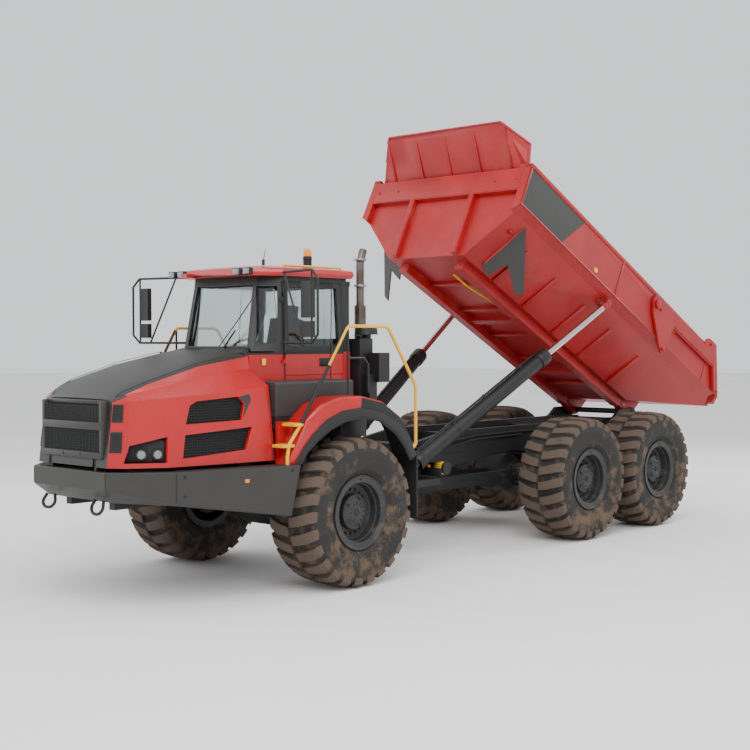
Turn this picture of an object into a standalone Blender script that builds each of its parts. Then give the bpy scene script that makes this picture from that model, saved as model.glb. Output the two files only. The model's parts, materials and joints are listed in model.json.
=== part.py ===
"""Articulated dump truck, six wheels, dump body raised, one object per sub-part.

Metres, +Z up, ground at Z = 0, nose towards -Y, the machine's left side at +X.
Every position is a station: Y counts from the front axle, and the empty
"machine" carries all of them to FRONT_AXLE_Y.  The dump body is modelled
lowered and turned about its rear hinge.
"""

import math

import bmesh
import bpy
from mathutils import Matrix, Vector

# ---------------------------------------------------------------- dimensions
FRONT_AXLE_Y = -3.12
MIDDLE_AXLE = 4.893
REAR_AXLE = 6.844

TYRE_RADIUS = 0.895
TYRE_WIDTH = 0.734
TRACK = 2.764
RIM_SEAT = 0.360
FLANGE_RADIUS = 0.440
TYRE_SIDES = 32
RIM_SIDES = 24
SPINDLE_RADIUS = 0.100

FIT = 0.0005  # gap between seated pieces
RUNNING = 0.0007  # least radial gap of a pin in its bore

RAIL_OUT = 0.460
RAIL_THICK = 0.100
RAIL_LOW = 1.070
RAIL_TOP = 1.400
DECK_LOW = 2.000
DECK_TOP = 2.050
DECK_HALF = 1.300
DECK_FRONT = -0.985
DECK_REAR = 0.900

BUMPER_TOP = 1.518
HOOD_LOW = 1.560
HOOD_REAR = -1.000
HOOD_HINGE = (-2.800, 1.640)
SKIN = 0.030

CAB_HALF = 0.860
CAB_FRONT = -0.775
CAB_REAR = 0.700
CAB_BELT = 2.780
CAB_TOP = 3.700
CAB_WALL = 0.050
GLASS = 0.008
DOOR_FRONT = -0.440
DOOR_REAR = 0.580
DOOR_LOW = 2.505
DOOR_HIGH = 3.640
DOOR_GAP = 0.006

ARCH_CENTRE = (-0.100, 0.920)

STEER_PIVOT = 1.300
STEER_PIN_RADIUS = 0.050
STEER_ANCHOR = Vector((0.550, 0.350, 0.990))
STEER_LUG = Vector((0.420, 1.780, 0.990))
STEER_BARREL = 0.900

FRAME_OUT = 0.560
FRAME_PLATE = 0.080
FRAME_TOP = 1.640

TILT = math.radians(27.0)
BODY_HINGE = Vector((0.0, 7.750, 1.720))
BODY_PIN_RADIUS = 0.045
FLOOR_HALF = 0.700
FLOOR_LOW = 1.785
FLOOR_THICK = 0.035
CHINE_X = 1.376
CHINE_Z = 2.443
SIDE_IN = 1.370
SIDE_OUT = 1.490
SIDE_LOW = 2.520
SIDE_TOP = 3.170
WALL_FRONT = 2.580
WALL_THICK = 0.035
TAIL_START = 7.430
TAIL_END = 8.930
TAIL_RISE = 0.605

HOIST_BASE = Vector((0.730, 1.920, 1.170))
HOIST_TOP_LOWERED = Vector((1.440, 5.168, 2.376))
HOIST_BARREL = 3.020
HOIST_BARREL_RADIUS = 0.118
HOIST_ROD_RADIUS = 0.050

GATE_PIVOT = (6.321, 2.974)

# ------------------------------------------------------------------ finishes
FINISHES = {
    "red_paint": ("B7211C", 0.32, 0.0),
    "dark_grey_paint": ("3B3A38", 0.45, 0.0),
    "black_paint": ("191A1B", 0.50, 0.0),
    "tyre_rubber": ("2A2826", 0.90, 0.0),
    "rim_grey": ("2F3031", 0.50, 0.2),
    "glass": ("AAB4B4", 0.05, 0.0),
    "yellow_paint": ("E3B519", 0.40, 0.0),
    "black_plastic": ("141516", 0.60, 0.0),
    "chrome": ("D8DADB", 0.10, 1.0),
    "exhaust_steel": ("6B5D52", 0.45, 0.9),
    "seat_fabric": ("2B2C2E", 0.95, 0.0),
    "cast_grey": ("26282A", 0.60, 0.3),
}


# ------------------------------------------------------------- scene helpers
def clear_scene():
    for obj in list(bpy.data.objects):
        bpy.data.objects.remove(obj, do_unlink=True)


def collection(name):
    made = bpy.data.collections.new(name)
    bpy.context.scene.collection.children.link(made)
    return made


def finish(name):
    if name in bpy.data.materials:
        return bpy.data.materials[name]
    code, roughness, metallic = FINISHES[name]
    srgb = [int(code[i : i + 2], 16) / 255 for i in (0, 2, 4)]
    linear = [c / 12.92 if c <= 0.04045 else ((c + 0.055) / 1.055) ** 2.4 for c in srgb]
    made = bpy.data.materials.new(name)
    made.use_nodes = True
    made.diffuse_color = (*linear, 1.0)
    shader = made.node_tree.nodes["Principled BSDF"]
    shader.inputs["Base Color"].default_value = (*linear, 1.0)
    shader.inputs["Roughness"].default_value = roughness
    shader.inputs["Metallic"].default_value = metallic
    return made


def mesh_from(bm, name="mesh"):
    bmesh.ops.recalc_face_normals(bm, faces=bm.faces)
    if bm.calc_volume(signed=True) < 0:
        bmesh.ops.reverse_faces(bm, faces=bm.faces)
    made = bpy.data.meshes.new(name)
    bm.to_mesh(made)
    bm.free()
    return made


def baked(obj):
    """The evaluated mesh of a temporary object, welded and facing out; the object goes."""
    bpy.context.scene.collection.objects.link(obj)
    graph = bpy.context.evaluated_depsgraph_get()
    graph.update()
    raw = bpy.data.meshes.new_from_object(obj.evaluated_get(graph))
    bm = bmesh.new()
    bm.from_mesh(raw)
    bmesh.ops.remove_doubles(bm, verts=bm.verts, dist=0.00005)
    bpy.data.objects.remove(obj, do_unlink=True)
    bpy.data.meshes.remove(raw)
    return mesh_from(bm)


def moved(mesh, matrix):
    mesh.transform(matrix)
    if matrix.to_3x3().determinant() < 0:
        mesh.flip_normals()
    return mesh


def mirrored(mesh):
    return moved(mesh.copy(), Matrix.Diagonal((-1.0, 1.0, 1.0, 1.0)))


def both(*meshes):
    """Each mesh and its mirror image."""
    return [m for mesh in meshes for m in (mesh, mirrored(mesh))]


# -------------------------------------------------------------- mesh builders
def block(x0, x1, y0, y1, z0, z1):
    bm = bmesh.new()
    bmesh.ops.create_cube(bm, size=1.0)
    size = Vector((abs(x1 - x0), abs(y1 - y0), abs(z1 - z0)))
    bmesh.ops.scale(bm, vec=size, verts=bm.verts)
    centre = Vector(((x0 + x1) / 2, (y0 + y1) / 2, (z0 + z1) / 2))
    bmesh.ops.translate(bm, vec=centre, verts=bm.verts)
    return mesh_from(bm)


def drum(start, end, radius, top=None, sides=20, phase=0.0):
    """A cylinder or a cone between two points."""
    start, end = Vector(start), Vector(end)
    along = end - start
    bm = bmesh.new()
    bmesh.ops.create_cone(
        bm,
        cap_ends=True,
        segments=sides,
        radius1=radius,
        radius2=radius if top is None else top,
        depth=along.length,
    )
    turn = Vector((0, 0, 1)).rotation_difference(along).to_matrix().to_4x4()
    turn = turn @ Matrix.Rotation(phase, 4, "Z")
    bm.transform(Matrix.Translation((start + end) / 2) @ turn)
    return mesh_from(bm)


def plate(points, axis, low, high):
    """A flat outline with a thickness from low to high along X, Y or Z."""
    curve = bpy.data.curves.new("outline", "CURVE")
    curve.dimensions = "2D"
    curve.fill_mode = "BOTH"
    curve.extrude = abs(high - low) / 2
    spline = curve.splines.new("POLY")
    spline.points.add(len(points) - 1)
    for point, (u, v) in zip(spline.points, points):
        point.co = (u, v, 0.0, 1.0)
    spline.use_cyclic_u = True
    mesh = baked(bpy.data.objects.new("outline", curve))
    middle = (low + high) / 2
    columns = {
        "X": ((0, 0, 1), (1, 0, 0), (0, 1, 0)),
        "Y": ((1, 0, 0), (0, 0, -1), (0, 1, 0)),
        "Z": ((1, 0, 0), (0, 1, 0), (0, 0, 1)),
    }[axis]
    turn = Matrix(columns).to_4x4()
    shift = Vector({"X": (middle, 0, 0), "Y": (0, middle, 0), "Z": (0, 0, middle)}[axis])
    return moved(mesh, Matrix.Translation(shift) @ turn)


def pipe(points, radius, smooth=2):
    """A round bar or tube along straight runs."""
    curve = bpy.data.curves.new("run", "CURVE")
    curve.dimensions = "3D"
    curve.bevel_depth = radius
    curve.bevel_resolution = smooth
    curve.use_fill_caps = True
    spline = curve.splines.new("POLY")
    spline.points.add(len(points) - 1)
    for point, place in zip(spline.points, points):
        point.co = (*place, 1.0)
    return baked(bpy.data.objects.new("run", curve))


def turned(profile, centre, sides=24, closed=False, phase=0.5):
    """A profile of (x, radius) points turned about the X axis through centre."""
    bm = bmesh.new()
    half = phase * 2 * math.pi / sides
    verts = [bm.verts.new((x, r * math.sin(half), -r * math.cos(half))) for x, r in profile]
    for a, b in zip(verts, verts[1:] + ([verts[0]] if closed else [])):
        bm.edges.new((a, b))
    mesh = bpy.data.meshes.new("profile")
    bm.to_mesh(mesh)
    bm.free()
    obj = bpy.data.objects.new("profile", mesh)
    screw = obj.modifiers.new("turn", "SCREW")
    screw.axis = "X"
    screw.steps = screw.render_steps = sides
    screw.use_merge_vertices = True
    screw.merge_threshold = 0.0001
    return moved(baked(obj), Matrix.Translation(Vector(centre)))


def loft(rings):
    """A closed solid through rings with the same number of points."""
    bm = bmesh.new()
    rows = [[bm.verts.new(p) for p in ring] for ring in rings]
    count = len(rows[0])
    for a, b in zip(rows, rows[1:]):
        for i in range(count):
            j = (i + 1) % count
            bm.faces.new((a[i], a[j], b[j]))
            bm.faces.new((a[i], b[j], b[i]))
    bm.faces.new(rows[0])
    bm.faces.new(rows[-1])
    return mesh_from(bm)


def hole_radius(pin, sides):
    """The radius of a bore whose flats stand RUNNING off a pin of that radius."""
    return (pin + RUNNING) / math.cos(math.pi / sides)


def bore(start, end, pin, sides=20, phase=0.5):
    """A cutter for a pin's hole, turned by that share of a facet from the pin itself."""
    return drum(start, end, hole_radius(pin, sides), sides=sides, phase=phase * 2 * math.pi / sides)


# ------------------------------------------------------------- node assembly
clear_scene()
PARTS = collection("articulated_dump_truck")
TOOLS = collection("cutters")
MACHINE = bpy.data.objects.new("machine", None)
MACHINE.location = (0.0, FRONT_AXLE_Y, 0.0)
PARTS.objects.link(MACHINE)


def helper(mesh, owner, name):
    obj = bpy.data.objects.new(name, mesh)
    obj.display_type = "WIRE"
    obj.hide_render = True
    TOOLS.objects.link(obj)
    obj.parent = owner
    return obj


def raised(point):
    """Where a point of the lowered dump body stands with the body raised."""
    return BODY_HINGE + Matrix.Rotation(-TILT, 3, "X") @ (Vector(point) - BODY_HINGE)


def node(name, look, solids, cuts=(), pivot=(0, 0, 0), on_body=False, keep=None, added=(), holes=()):
    """One sub-part: solids joined, cuts taken away, then what is added and its holes; its origin is the pivot."""
    pivot = Vector(pivot)
    back = Matrix.Translation(-pivot)
    obj = bpy.data.objects.new(name, moved(solids[0], back))
    obj.data.materials.append(finish(look))
    PARTS.objects.link(obj)
    obj.parent = MACHINE
    obj.location = raised(pivot) if on_body else pivot
    obj.rotation_euler = (-TILT if on_body else 0.0, 0.0, 0.0)
    steps = [("UNION", m) for m in solids[1:]]
    if keep is not None:
        steps.append(("INTERSECT", keep))
    steps += [("DIFFERENCE", m) for m in cuts]
    steps += [("UNION", m) for m in added] + [("DIFFERENCE", m) for m in holes]
    for i, (how, mesh) in enumerate(steps):
        tool = helper(moved(mesh, back), obj, f"{name}_{how.lower()}_{i}")
        cut = obj.modifiers.new(f"{how.lower()}_{i}", "BOOLEAN")
        cut.operation = how
        cut.solver = "EXACT"
        cut.object = tool
    return obj


def pair(name, look, build, pivot=(0, 0, 0), on_body=False):
    """The left piece and its mirror image on the right."""
    solids, cuts = build()
    others = [mirrored(m) for m in solids], [mirrored(m) for m in cuts]
    node(f"{name}_left", look, solids, cuts, pivot, on_body)
    node(f"{name}_right", look, *others, (-pivot[0], pivot[1], pivot[2]), on_body)


# -------------------------------------------------------------------- wheels
def tyre_profile():
    half = TYRE_WIDTH / 2
    tread = TYRE_RADIUS / math.cos(math.pi / TYRE_SIDES)
    seat = (RIM_SEAT + FIT) / math.cos(math.pi / TYRE_SIDES)
    side = [
        (0.2985, seat),
        (0.2985, FLANGE_RADIUS + 0.012),
        (half - 0.027, 0.520),
        (half, 0.690),
        (half - 0.032, tread - 0.027),
        (half - 0.082, tread),
    ]
    return side + [(-x, r) for x, r in reversed(side)]


def rim_profile():
    bearing = hole_radius(SPINDLE_RADIUS, RIM_SIDES)
    return [
        (0.255, 0.0),
        (0.255, 0.150),
        (0.235, 0.200),
        (0.140, 0.215),
        (0.165, 0.325),
        (0.325, 0.345),
        (0.325, FLANGE_RADIUS),
        (0.299, FLANGE_RADIUS),
        (0.299, RIM_SEAT),
        (-0.299, RIM_SEAT),
        (-0.299, FLANGE_RADIUS),
        (-0.325, FLANGE_RADIUS),
        (-0.325, 0.345),
        (0.060, 0.320),
        (0.100, 0.235),
        (0.100, bearing),
        (0.200, bearing),
        (0.200, 0.0),
    ]


for axle, station in (("front", 0.0), ("middle", MIDDLE_AXLE), ("rear", REAR_AXLE)):
    for side, sign in (("left", 1), ("right", -1)):
        hub = (sign * TRACK / 2, station, TYRE_RADIUS)
        here = Matrix.Translation(Vector(hub)) @ Matrix.Diagonal((sign, 1.0, 1.0, 1.0))
        tyre = moved(turned(tyre_profile(), (0, 0, 0), TYRE_SIDES, closed=True), here)
        rim = moved(turned(rim_profile(), (0, 0, 0), RIM_SIDES), here)
        node(f"tyre_{axle}_{side}", "tyre_rubber", [tyre], pivot=hub)
        node(f"rim_{axle}_{side}", "rim_grey", [rim], pivot=hub)


# --------------------------------------------------------------------- axles
def axle_casing(station):
    end = TRACK / 2 + 0.1995
    half = [
        (end, 0.0),
        (end, SPINDLE_RADIUS),
        (1.450, SPINDLE_RADIUS),
        (1.450, 0.220),
        (1.120, 0.220),
        (1.050, 0.150),
        (0.345, 0.160),
        (0.220, 0.290),
    ]
    profile = half + [(-x, r) for x, r in reversed(half)]
    return turned(profile, (0, station, TYRE_RADIUS), phase=0.0)


node(
    "front_axle",
    "cast_grey",
    [
        axle_casing(0.0),
        drum((0, 0.20, TYRE_RADIUS), (0, 0.46, TYRE_RADIUS), 0.15, 0.10),
        *both(block(0.37, 0.45, -0.11, 0.11, 0.98, RAIL_LOW - FIT)),
    ],
)
node(
    "middle_axle",
    "cast_grey",
    [
        axle_casing(MIDDLE_AXLE),
        *both(
            plate([(2.4205, 0.80), (4.80, 0.79), (4.80, 0.97), (2.4205, 0.98)], "X", 0.39, 0.47),
            block(0.66, 0.82, 4.80, 4.99, 0.95, 1.060),
        ),
        drum((0, 2.4230, 0.98), (0, 4.70, 0.92), 0.055, sides=12),
    ],
)
node(
    "rear_axle",
    "cast_grey",
    [
        axle_casing(REAR_AXLE),
        *both(block(0.66, 0.82, 6.75, 6.94, 0.95, 1.060)),
        drum((0, MIDDLE_AXLE + 0.2985, 0.895), (0, 6.62, 0.895), 0.055, sides=12),
    ],
)
beam_outline = [
    (4.76, 1.0605),
    (5.06, 1.0605),
    (5.16, 1.0720),
    (6.58, 1.0720),
    (6.68, 1.0605),
    (6.98, 1.0605),
    (6.98, 1.130),
    (6.45, 1.230),
    (5.96, 1.285),
    (5.78, 1.285),
    (5.28, 1.230),
    (4.76, 1.130),
]
node(
    "bogie_beams",
    "cast_grey",
    [
        *both(plate(beam_outline, "X", 0.66, 0.82)),
        drum((-0.70, 5.87, 1.16), (0.70, 5.87, 1.16), 0.078),
        *both(block(0.475, 0.575, 5.776, 5.964, 1.118, 1.2795)),
    ],
)

# --------------------------------------------------------------- front frame
rail_in = RAIL_OUT - RAIL_THICK
hinge_y, hinge_z = HOOD_HINGE
node(
    "front_frame",
    "black_paint",
    [
        *both(
            block(rail_in, RAIL_OUT, -2.62, 0.98, RAIL_LOW, RAIL_TOP),
            block(rail_in, RAIL_OUT, -0.80, -0.66, 1.39, DECK_LOW + 0.01),
            block(rail_in, RAIL_OUT, 0.50, 0.64, 1.39, DECK_LOW + 0.01),
            plate(
                [(-2.845, 1.44), (-2.755, 1.44), (-2.765, 1.655), (-2.785, 1.67), (-2.815, 1.67), (-2.835, 1.655)],
                "X",
                0.400,
                0.440,
            ),
            drum((0.39, hinge_y, hinge_z), (0.50, hinge_y, hinge_z), 0.018, sides=12),
            plate([(0.42, 0.27), (0.60, 0.27), (0.62, 0.35), (0.60, 0.43), (0.42, 0.43)], "Z", 1.045, 1.10),
            drum((STEER_ANCHOR.x, STEER_ANCHOR.y, 0.93), (STEER_ANCHOR.x, STEER_ANCHOR.y, 1.06), 0.025),
        ),
        block(-0.62, 0.62, -2.8500, -2.60, 1.350, 1.470),
        block(-0.40, 0.40, -2.15, -2.00, 1.10, 1.25),
        block(-0.40, 0.40, -1.30, -1.15, 1.10, 1.25),
        block(-0.40, 0.40, -0.42, -0.30, 1.22, 1.36),
        block(-0.27, 0.27, 0.80, 0.98, 0.775, 1.425),
        block(-0.45, 0.45, 0.80, 0.975, 1.08, 1.39),
        plate([(-0.26, 0.85), (0.26, 0.85), (0.17, 1.38), (0.08, 1.46), (-0.08, 1.46), (-0.17, 1.38)], "Z", 0.78, 0.86),
        plate([(-0.26, 0.85), (0.26, 0.85), (0.17, 1.38), (0.08, 1.46), (-0.08, 1.46), (-0.17, 1.38)], "Z", 1.34, 1.42),
        drum((0, STEER_PIVOT, 0.74), (0, STEER_PIVOT, 1.46), STEER_PIN_RADIUS),
        block(-DECK_HALF, DECK_HALF, DECK_FRONT, DECK_REAR, DECK_LOW, DECK_TOP),
        block(-0.78, 0.78, 0.88, 1.22, DECK_LOW, DECK_TOP),
    ],
)
node(
    "engine_gearbox",
    "cast_grey",
    [
        block(-0.34, 0.34, -2.30, -1.04, 1.25 + FIT, 2.05),
        block(-0.28, 0.28, -1.06, 0.10, 1.36 + FIT, 1.80),
    ],
)


# -------------------------------------------------------------------- bumper
def bumper_ring(x, y, dx, dy, low, inset, tuck, lean=0.0):
    """A folded-sheet section: face, tucked-under lip and top ledge, going inwards by (dx, dy)."""

    def at(d, z):
        return (x + dx * d, y + dy * d + lean * (z - BUMPER_TOP), z)

    return [
        at(0.0, BUMPER_TOP),
        at(0.0, low),
        at(inset, low - tuck),
        at(inset + 0.02, low - tuck + 0.03),
        at(0.05, low + 0.02),
        at(0.05, BUMPER_TOP - 0.04),
        at(0.24, BUMPER_TOP - 0.04),
        at(0.24, BUMPER_TOP),
    ]


def bumper():
    left = [
        bumper_ring(0.681, -2.905, -0.41, 1.0, 1.318, 0.17, 0.15),
        bumper_ring(1.209, -2.358, -0.90, 0.50, 1.180, 0.10, 0.04),
        bumper_ring(1.597, -0.873, -0.96, -0.05, 0.950, 0.06, 0.01, 0.26),
    ]
    right = [[(-x, y, z) for x, y, z in ring] for ring in reversed(left)]
    return loft(right + left)


node(
    "bumper",
    "dark_grey_paint",
    [bumper()],
    cuts=both(block(0.385, 0.515, -2.850, -2.60, 1.470, 1.60)),
)


# ---------------------------------------------------------------------- hood
HOOD_STATIONS = [
    [(0.0, -2.775, 2.300), (0.45, -2.772, 2.295), (0.600, -2.760, 2.280), (0.625, -2.762, 2.262), (0.640, -2.770, 2.220), (0.650, -2.855, HOOD_LOW)],
    [(0.0, -2.640, 2.390), (0.47, -2.630, 2.380), (0.690, -2.640, 2.345), (0.740, -2.655, 2.325), (0.800, -2.665, 2.280), (0.830, -2.720, HOOD_LOW)],
    [(0.0, -2.380, 2.505), (0.50, -2.380, 2.490), (0.760, -2.400, 2.450), (0.810, -2.380, 2.400), (1.030, -2.340, 2.310), (1.080, -2.360, HOOD_LOW)],
    [(0.0, -1.700, 2.690), (0.53, -1.700, 2.675), (0.800, -1.700, 2.640), (0.845, -1.700, 2.520), (1.130, -1.700, 2.345), (1.200, -1.700, HOOD_LOW)],
    [(0.0, -1.250, 2.780), (0.55, -1.250, 2.765), (0.825, -1.250, 2.705), (0.860, -1.250, 2.575), (1.170, -1.250, 2.385), (1.270, -1.250, HOOD_LOW)],
    [(0.0, HOOD_REAR, 2.820), (0.56, HOOD_REAR, 2.805), (0.838, HOOD_REAR, 2.745), (0.866, HOOD_REAR, 2.600), (1.190, HOOD_REAR, 2.410), (1.295, HOOD_REAR, HOOD_LOW)],
]


def hood_solid(inset, drop, rear):
    """The hood's outer form, or the room inside it when inset is its thickness."""
    rings = []
    for i, half in enumerate(HOOD_STATIONS):
        ring = []
        for k, (x, y, z) in enumerate(half):
            x = max(x - inset * (1.0 if k else 0.0), 0.0)
            y = y + (inset if i == 0 else 0.5 * inset if i == 1 else 0.0)
            y = rear if i == len(HOOD_STATIONS) - 1 else y
            z = HOOD_LOW - drop if k == len(half) - 1 else z - inset
            ring.append((x, y, z))
        mirror = [(-x, y, z) for x, y, z in reversed(ring[1:])]
        rings.append(ring + mirror)
    return loft(rings)


hood_lug = plate([(-2.835, 1.580), (-2.71, 1.590), (-2.69, 1.64), (-2.72, 1.69), (-2.835, 1.69)], "X", 0.4405, 0.480)
node(
    "hood",
    "red_paint",
    [hood_solid(0.0, 0.0, HOOD_REAR)],
    cuts=[
        hood_solid(SKIN, 0.05, HOOD_REAR + 0.05),
        plate([(-0.520, 1.700), (0.520, 1.700), (0.510, 2.235), (-0.510, 2.235)], "Y", -2.95, -2.70),
        *both(block(0.385, 0.4525, -2.95, -2.70, 1.500, 1.690)),
    ],
    added=both(hood_lug),
    holes=both(bore((0.43, hinge_y, hinge_z), (0.52, hinge_y, hinge_z), 0.018, 12)),
    pivot=(0, hinge_y, hinge_z),
)
node(
    "grille",
    "black_plastic",
    [
        loft(
            [
                [(x, -2.8545 + 0.117 * (z - HOOD_LOW) + d, z) for x in (-w, w)]
                + [(x, -2.8545 + 0.117 * (z - HOOD_LOW) + d + 0.03, z) for x in (w, -w)]
                for z, w, d in ((1.7005, 0.5190, 0.012), (2.2340, 0.5090, 0.012))
            ]
        ),
    ],
    pivot=(0, hinge_y, hinge_z),
)


# --------------------------------------------------- side boxes and fenders
def side_box():
    return (
        [
            plate(
                [(0.905, DECK_TOP + FIT), (1.295, DECK_TOP + FIT), (1.295, 2.43), (1.270, 2.455), (0.905, 2.455)],
                "Y",
                -0.984,
                0.305,
            )
        ],
        [],
    )


pair("side_box", "dark_grey_paint", side_box)

FENDER_RINGS = [  # degrees forward of straight up, radii of the top, the side's low edge and the lip, outer face X
    (None, 1.075, 0.985, 0.915, 1.500),
    (42.0, 1.145, 1.035, 0.965, 1.530),
    (31.0, 1.290, 1.095, 0.995, 1.575),
    (20.0, 1.345, 1.160, 1.035, 1.620),
    (8.0, 1.360, 1.200, 1.070, 1.660),
    (-6.0, 1.360, 1.222, 1.098, 1.680),
    (-22.0, 1.375, 1.240, 1.112, 1.680),
    (-38.0, 1.370, 1.262, 1.112, 1.680),
    (-50.0, 1.325, 1.262, 1.105, 1.680),
    (-61.0, 1.280, 1.240, 1.100, 1.680),
]
FENDER_IN = DECK_HALF + FIT


def fender():
    rings = []
    for degrees, top, low, lip, face in FENDER_RINGS:
        section = [
            (FENDER_IN, top - SKIN),
            (FENDER_IN, top),
            (face - 0.030, top),
            (face, top - 0.020),
            (face, low),
            (face + 0.045, low - 0.010),
            (face + 0.060, lip + 0.030),
            (face + 0.045, lip),
            (face + 0.015, lip + 0.005),
            (face - 0.010, low - 0.035),
            (face - SKIN, low - 0.010),
            (face - SKIN, top - SKIN - 0.005),
        ]
        ring = []
        for x, radius in section:
            foot = math.acos((BUMPER_TOP + FIT - ARCH_CENTRE[1]) / radius)
            angle = foot if degrees is None else math.radians(degrees)
            ring.append((x, ARCH_CENTRE[0] - radius * math.sin(angle), ARCH_CENTRE[1] + radius * math.cos(angle)))
        rings.append(ring)
    gusset = plate(
        [(-0.60, 1.985), (0.55, 1.985), (0.55, 2.09), (0.30, 2.19), (-0.10, 2.262), (-0.45, 2.20), (-0.60, 2.10)],
        "X",
        FENDER_IN,
        1.325,
    )
    cheek = plate(
        [(-0.984, BUMPER_TOP + FIT), (-0.880, BUMPER_TOP + FIT), (-0.810, 1.74), (-0.66, 1.97), (-0.66, DECK_LOW - FIT), (-0.984, DECK_LOW - FIT)],
        "X",
        1.285,
        1.325,
    )
    flap = block(1.080, 1.700, 1.005, 1.030, 0.740, 1.545)
    return [loft(rings), gusset, cheek, flap], []


pair("front_fender", "red_paint", fender)


# ------------------------------------------------------- ladder and handrail
def access_rail(with_ladder):
    r = 0.021
    foot = BUMPER_TOP + FIT
    loop = [
        (1.500, -1.002, foot),
        (1.500, -1.002, 1.600),
        (1.500, -0.975, 1.745),
        (1.555, -0.835, 1.980),
        (1.580, -0.405, 2.636),
        (1.600, -0.130, 3.060),
        (1.600, -0.085, 3.096),
        (1.600, 0.570, 3.094),
        (1.600, 0.615, 3.060),
        (1.600, 1.088, 2.385),
        (1.600, 1.105, 2.330),
        (1.600, 1.105, 1.640),
        (1.600, 1.060, 1.595),
        (1.600, 1.031, 1.590),
    ]
    solids = [pipe(loop, r), pipe([(1.600, -0.110, 2.281), (1.600, -0.110, 3.08)], 0.014)]
    solids.append(pipe([(1.600, -0.110, 2.720), (1.600, 0.160, 2.720), (1.600, 0.240, 2.640), (1.600, 0.240, 2.30)], 0.014))
    if with_ladder:
        solids.append(block(1.335, 1.515, -1.080, -0.900, 1.715, 1.745))
        solids.append(block(1.370, 1.570, -0.960, -0.812, 1.955, 1.985))
    return solids


node("ladder_handrail_left", "yellow_paint", access_rail(True))
node("handrail_right", "yellow_paint", [mirrored(m) for m in access_rail(False)])


# ----------------------------------------------------------------------- cab
def cab_plan(half, front, rear, corner_x, corner_y, z):
    return [
        (-corner_x, front, z),
        (corner_x, front, z),
        (half, corner_y, z),
        (half, rear, z),
        (-half, rear, z),
        (-half, corner_y, z),
    ]


def greenhouse(inset, z0, z1):
    """The glazed upper cab between two heights, moved in by inset on all sides."""

    def ring(z):
        t = (z - CAB_BELT) / (CAB_TOP - CAB_BELT)
        return cab_plan(
            CAB_HALF - 0.050 * t - inset,
            CAB_FRONT + 0.165 * t + inset,
            CAB_REAR - 0.020 * t - inset,
            0.620 - 0.045 * t - 0.62 * inset,
            -0.500 + 0.070 * t + 0.30 * inset,
            z,
        )

    return loft([ring(z0), ring(z1)])


def tub(inset, z0, z1, front):
    plan = [(-0.838, front), (0.838, front), (CAB_HALF, -0.50), (CAB_HALF, CAB_REAR), (-CAB_HALF, CAB_REAR), (-CAB_HALF, -0.50)]
    rings = []
    for z in (z0, z1):
        ring = []
        for x, y in plan:
            x = x - math.copysign(inset, x)
            y = y + inset if y < -0.6 else y - inset if y > 0.6 else y
            ring.append((x, y, z))
        rings.append(ring)
    return loft(rings)


FLOOR_TOP = 2.120
DOOR_AXIS = (0.885, DOOR_FRONT + DOOR_GAP)
KNUCKLES = (2.650, 3.400)


def knuckle(low, high, y0, y1):
    """A hinge leaf on the cab's outer face and its barrel on the door's axis."""
    x, y = DOOR_AXIS
    reach = CAB_HALF - 0.050 * max(0.0, low - CAB_BELT) / (CAB_TOP - CAB_BELT)
    return [block(reach - 0.030, x, y0, y1, low, high), drum((x, y, low), (x, y, high), 0.018, sides=12)]


door_box = (0.70, 0.95, DOOR_FRONT, DOOR_REAR, DOOR_LOW, DOOR_HIGH)
side_hole = [(-0.40, 2.83), (0.55, 2.83), (0.54, 3.60), (-0.36, 3.60)]
cab_cuts = [
    tub(CAB_WALL, FLOOR_TOP, CAB_BELT + 0.02, DECK_FRONT + 0.005 + 0.16),
    greenhouse(CAB_WALL, CAB_BELT - 0.02, CAB_TOP + 0.02),
    block(*door_box),
    plate([(-0.555, 2.86), (0.555, 2.86), (0.520, 3.60), (-0.520, 3.60)], "Y", -1.10, -0.45),
    plate([(-0.74, 2.90), (0.74, 2.90), (0.70, 3.58), (-0.70, 3.58)], "Y", 0.60, 0.80),
    mirrored(plate(side_hole, "X", 0.70, 0.95)),
    *both(
        moved(
            block(-0.125, 0.125, -0.20, 0.20, 2.90, 3.58),
            Matrix.Translation(Vector((0.725, -0.595, 0))) @ Matrix.Rotation(math.radians(48.0), 4, "Z"),
        )
    ),
]
cowl = loft(
    [
        [(-0.62, CAB_FRONT + 0.03, 2.77), (0.62, CAB_FRONT + 0.03, 2.77), (0.60, CAB_FRONT + 0.03, 2.85), (-0.60, CAB_FRONT + 0.03, 2.85)],
        [(-0.80, DECK_FRONT + 0.005, 2.70), (0.80, DECK_FRONT + 0.005, 2.70), (0.78, DECK_FRONT + 0.005, 2.775), (-0.78, DECK_FRONT + 0.005, 2.775)],
    ]
)
node(
    "cab_shell",
    "red_paint",
    [tub(0.0, DECK_TOP + FIT, CAB_BELT + 0.005, DECK_FRONT + 0.005), greenhouse(0.0, CAB_BELT, CAB_TOP), cowl],
    cuts=cab_cuts,
    added=[m for z in KNUCKLES for m in knuckle(z, z + 0.050, -0.480, DOOR_FRONT - 0.001)],
)

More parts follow.
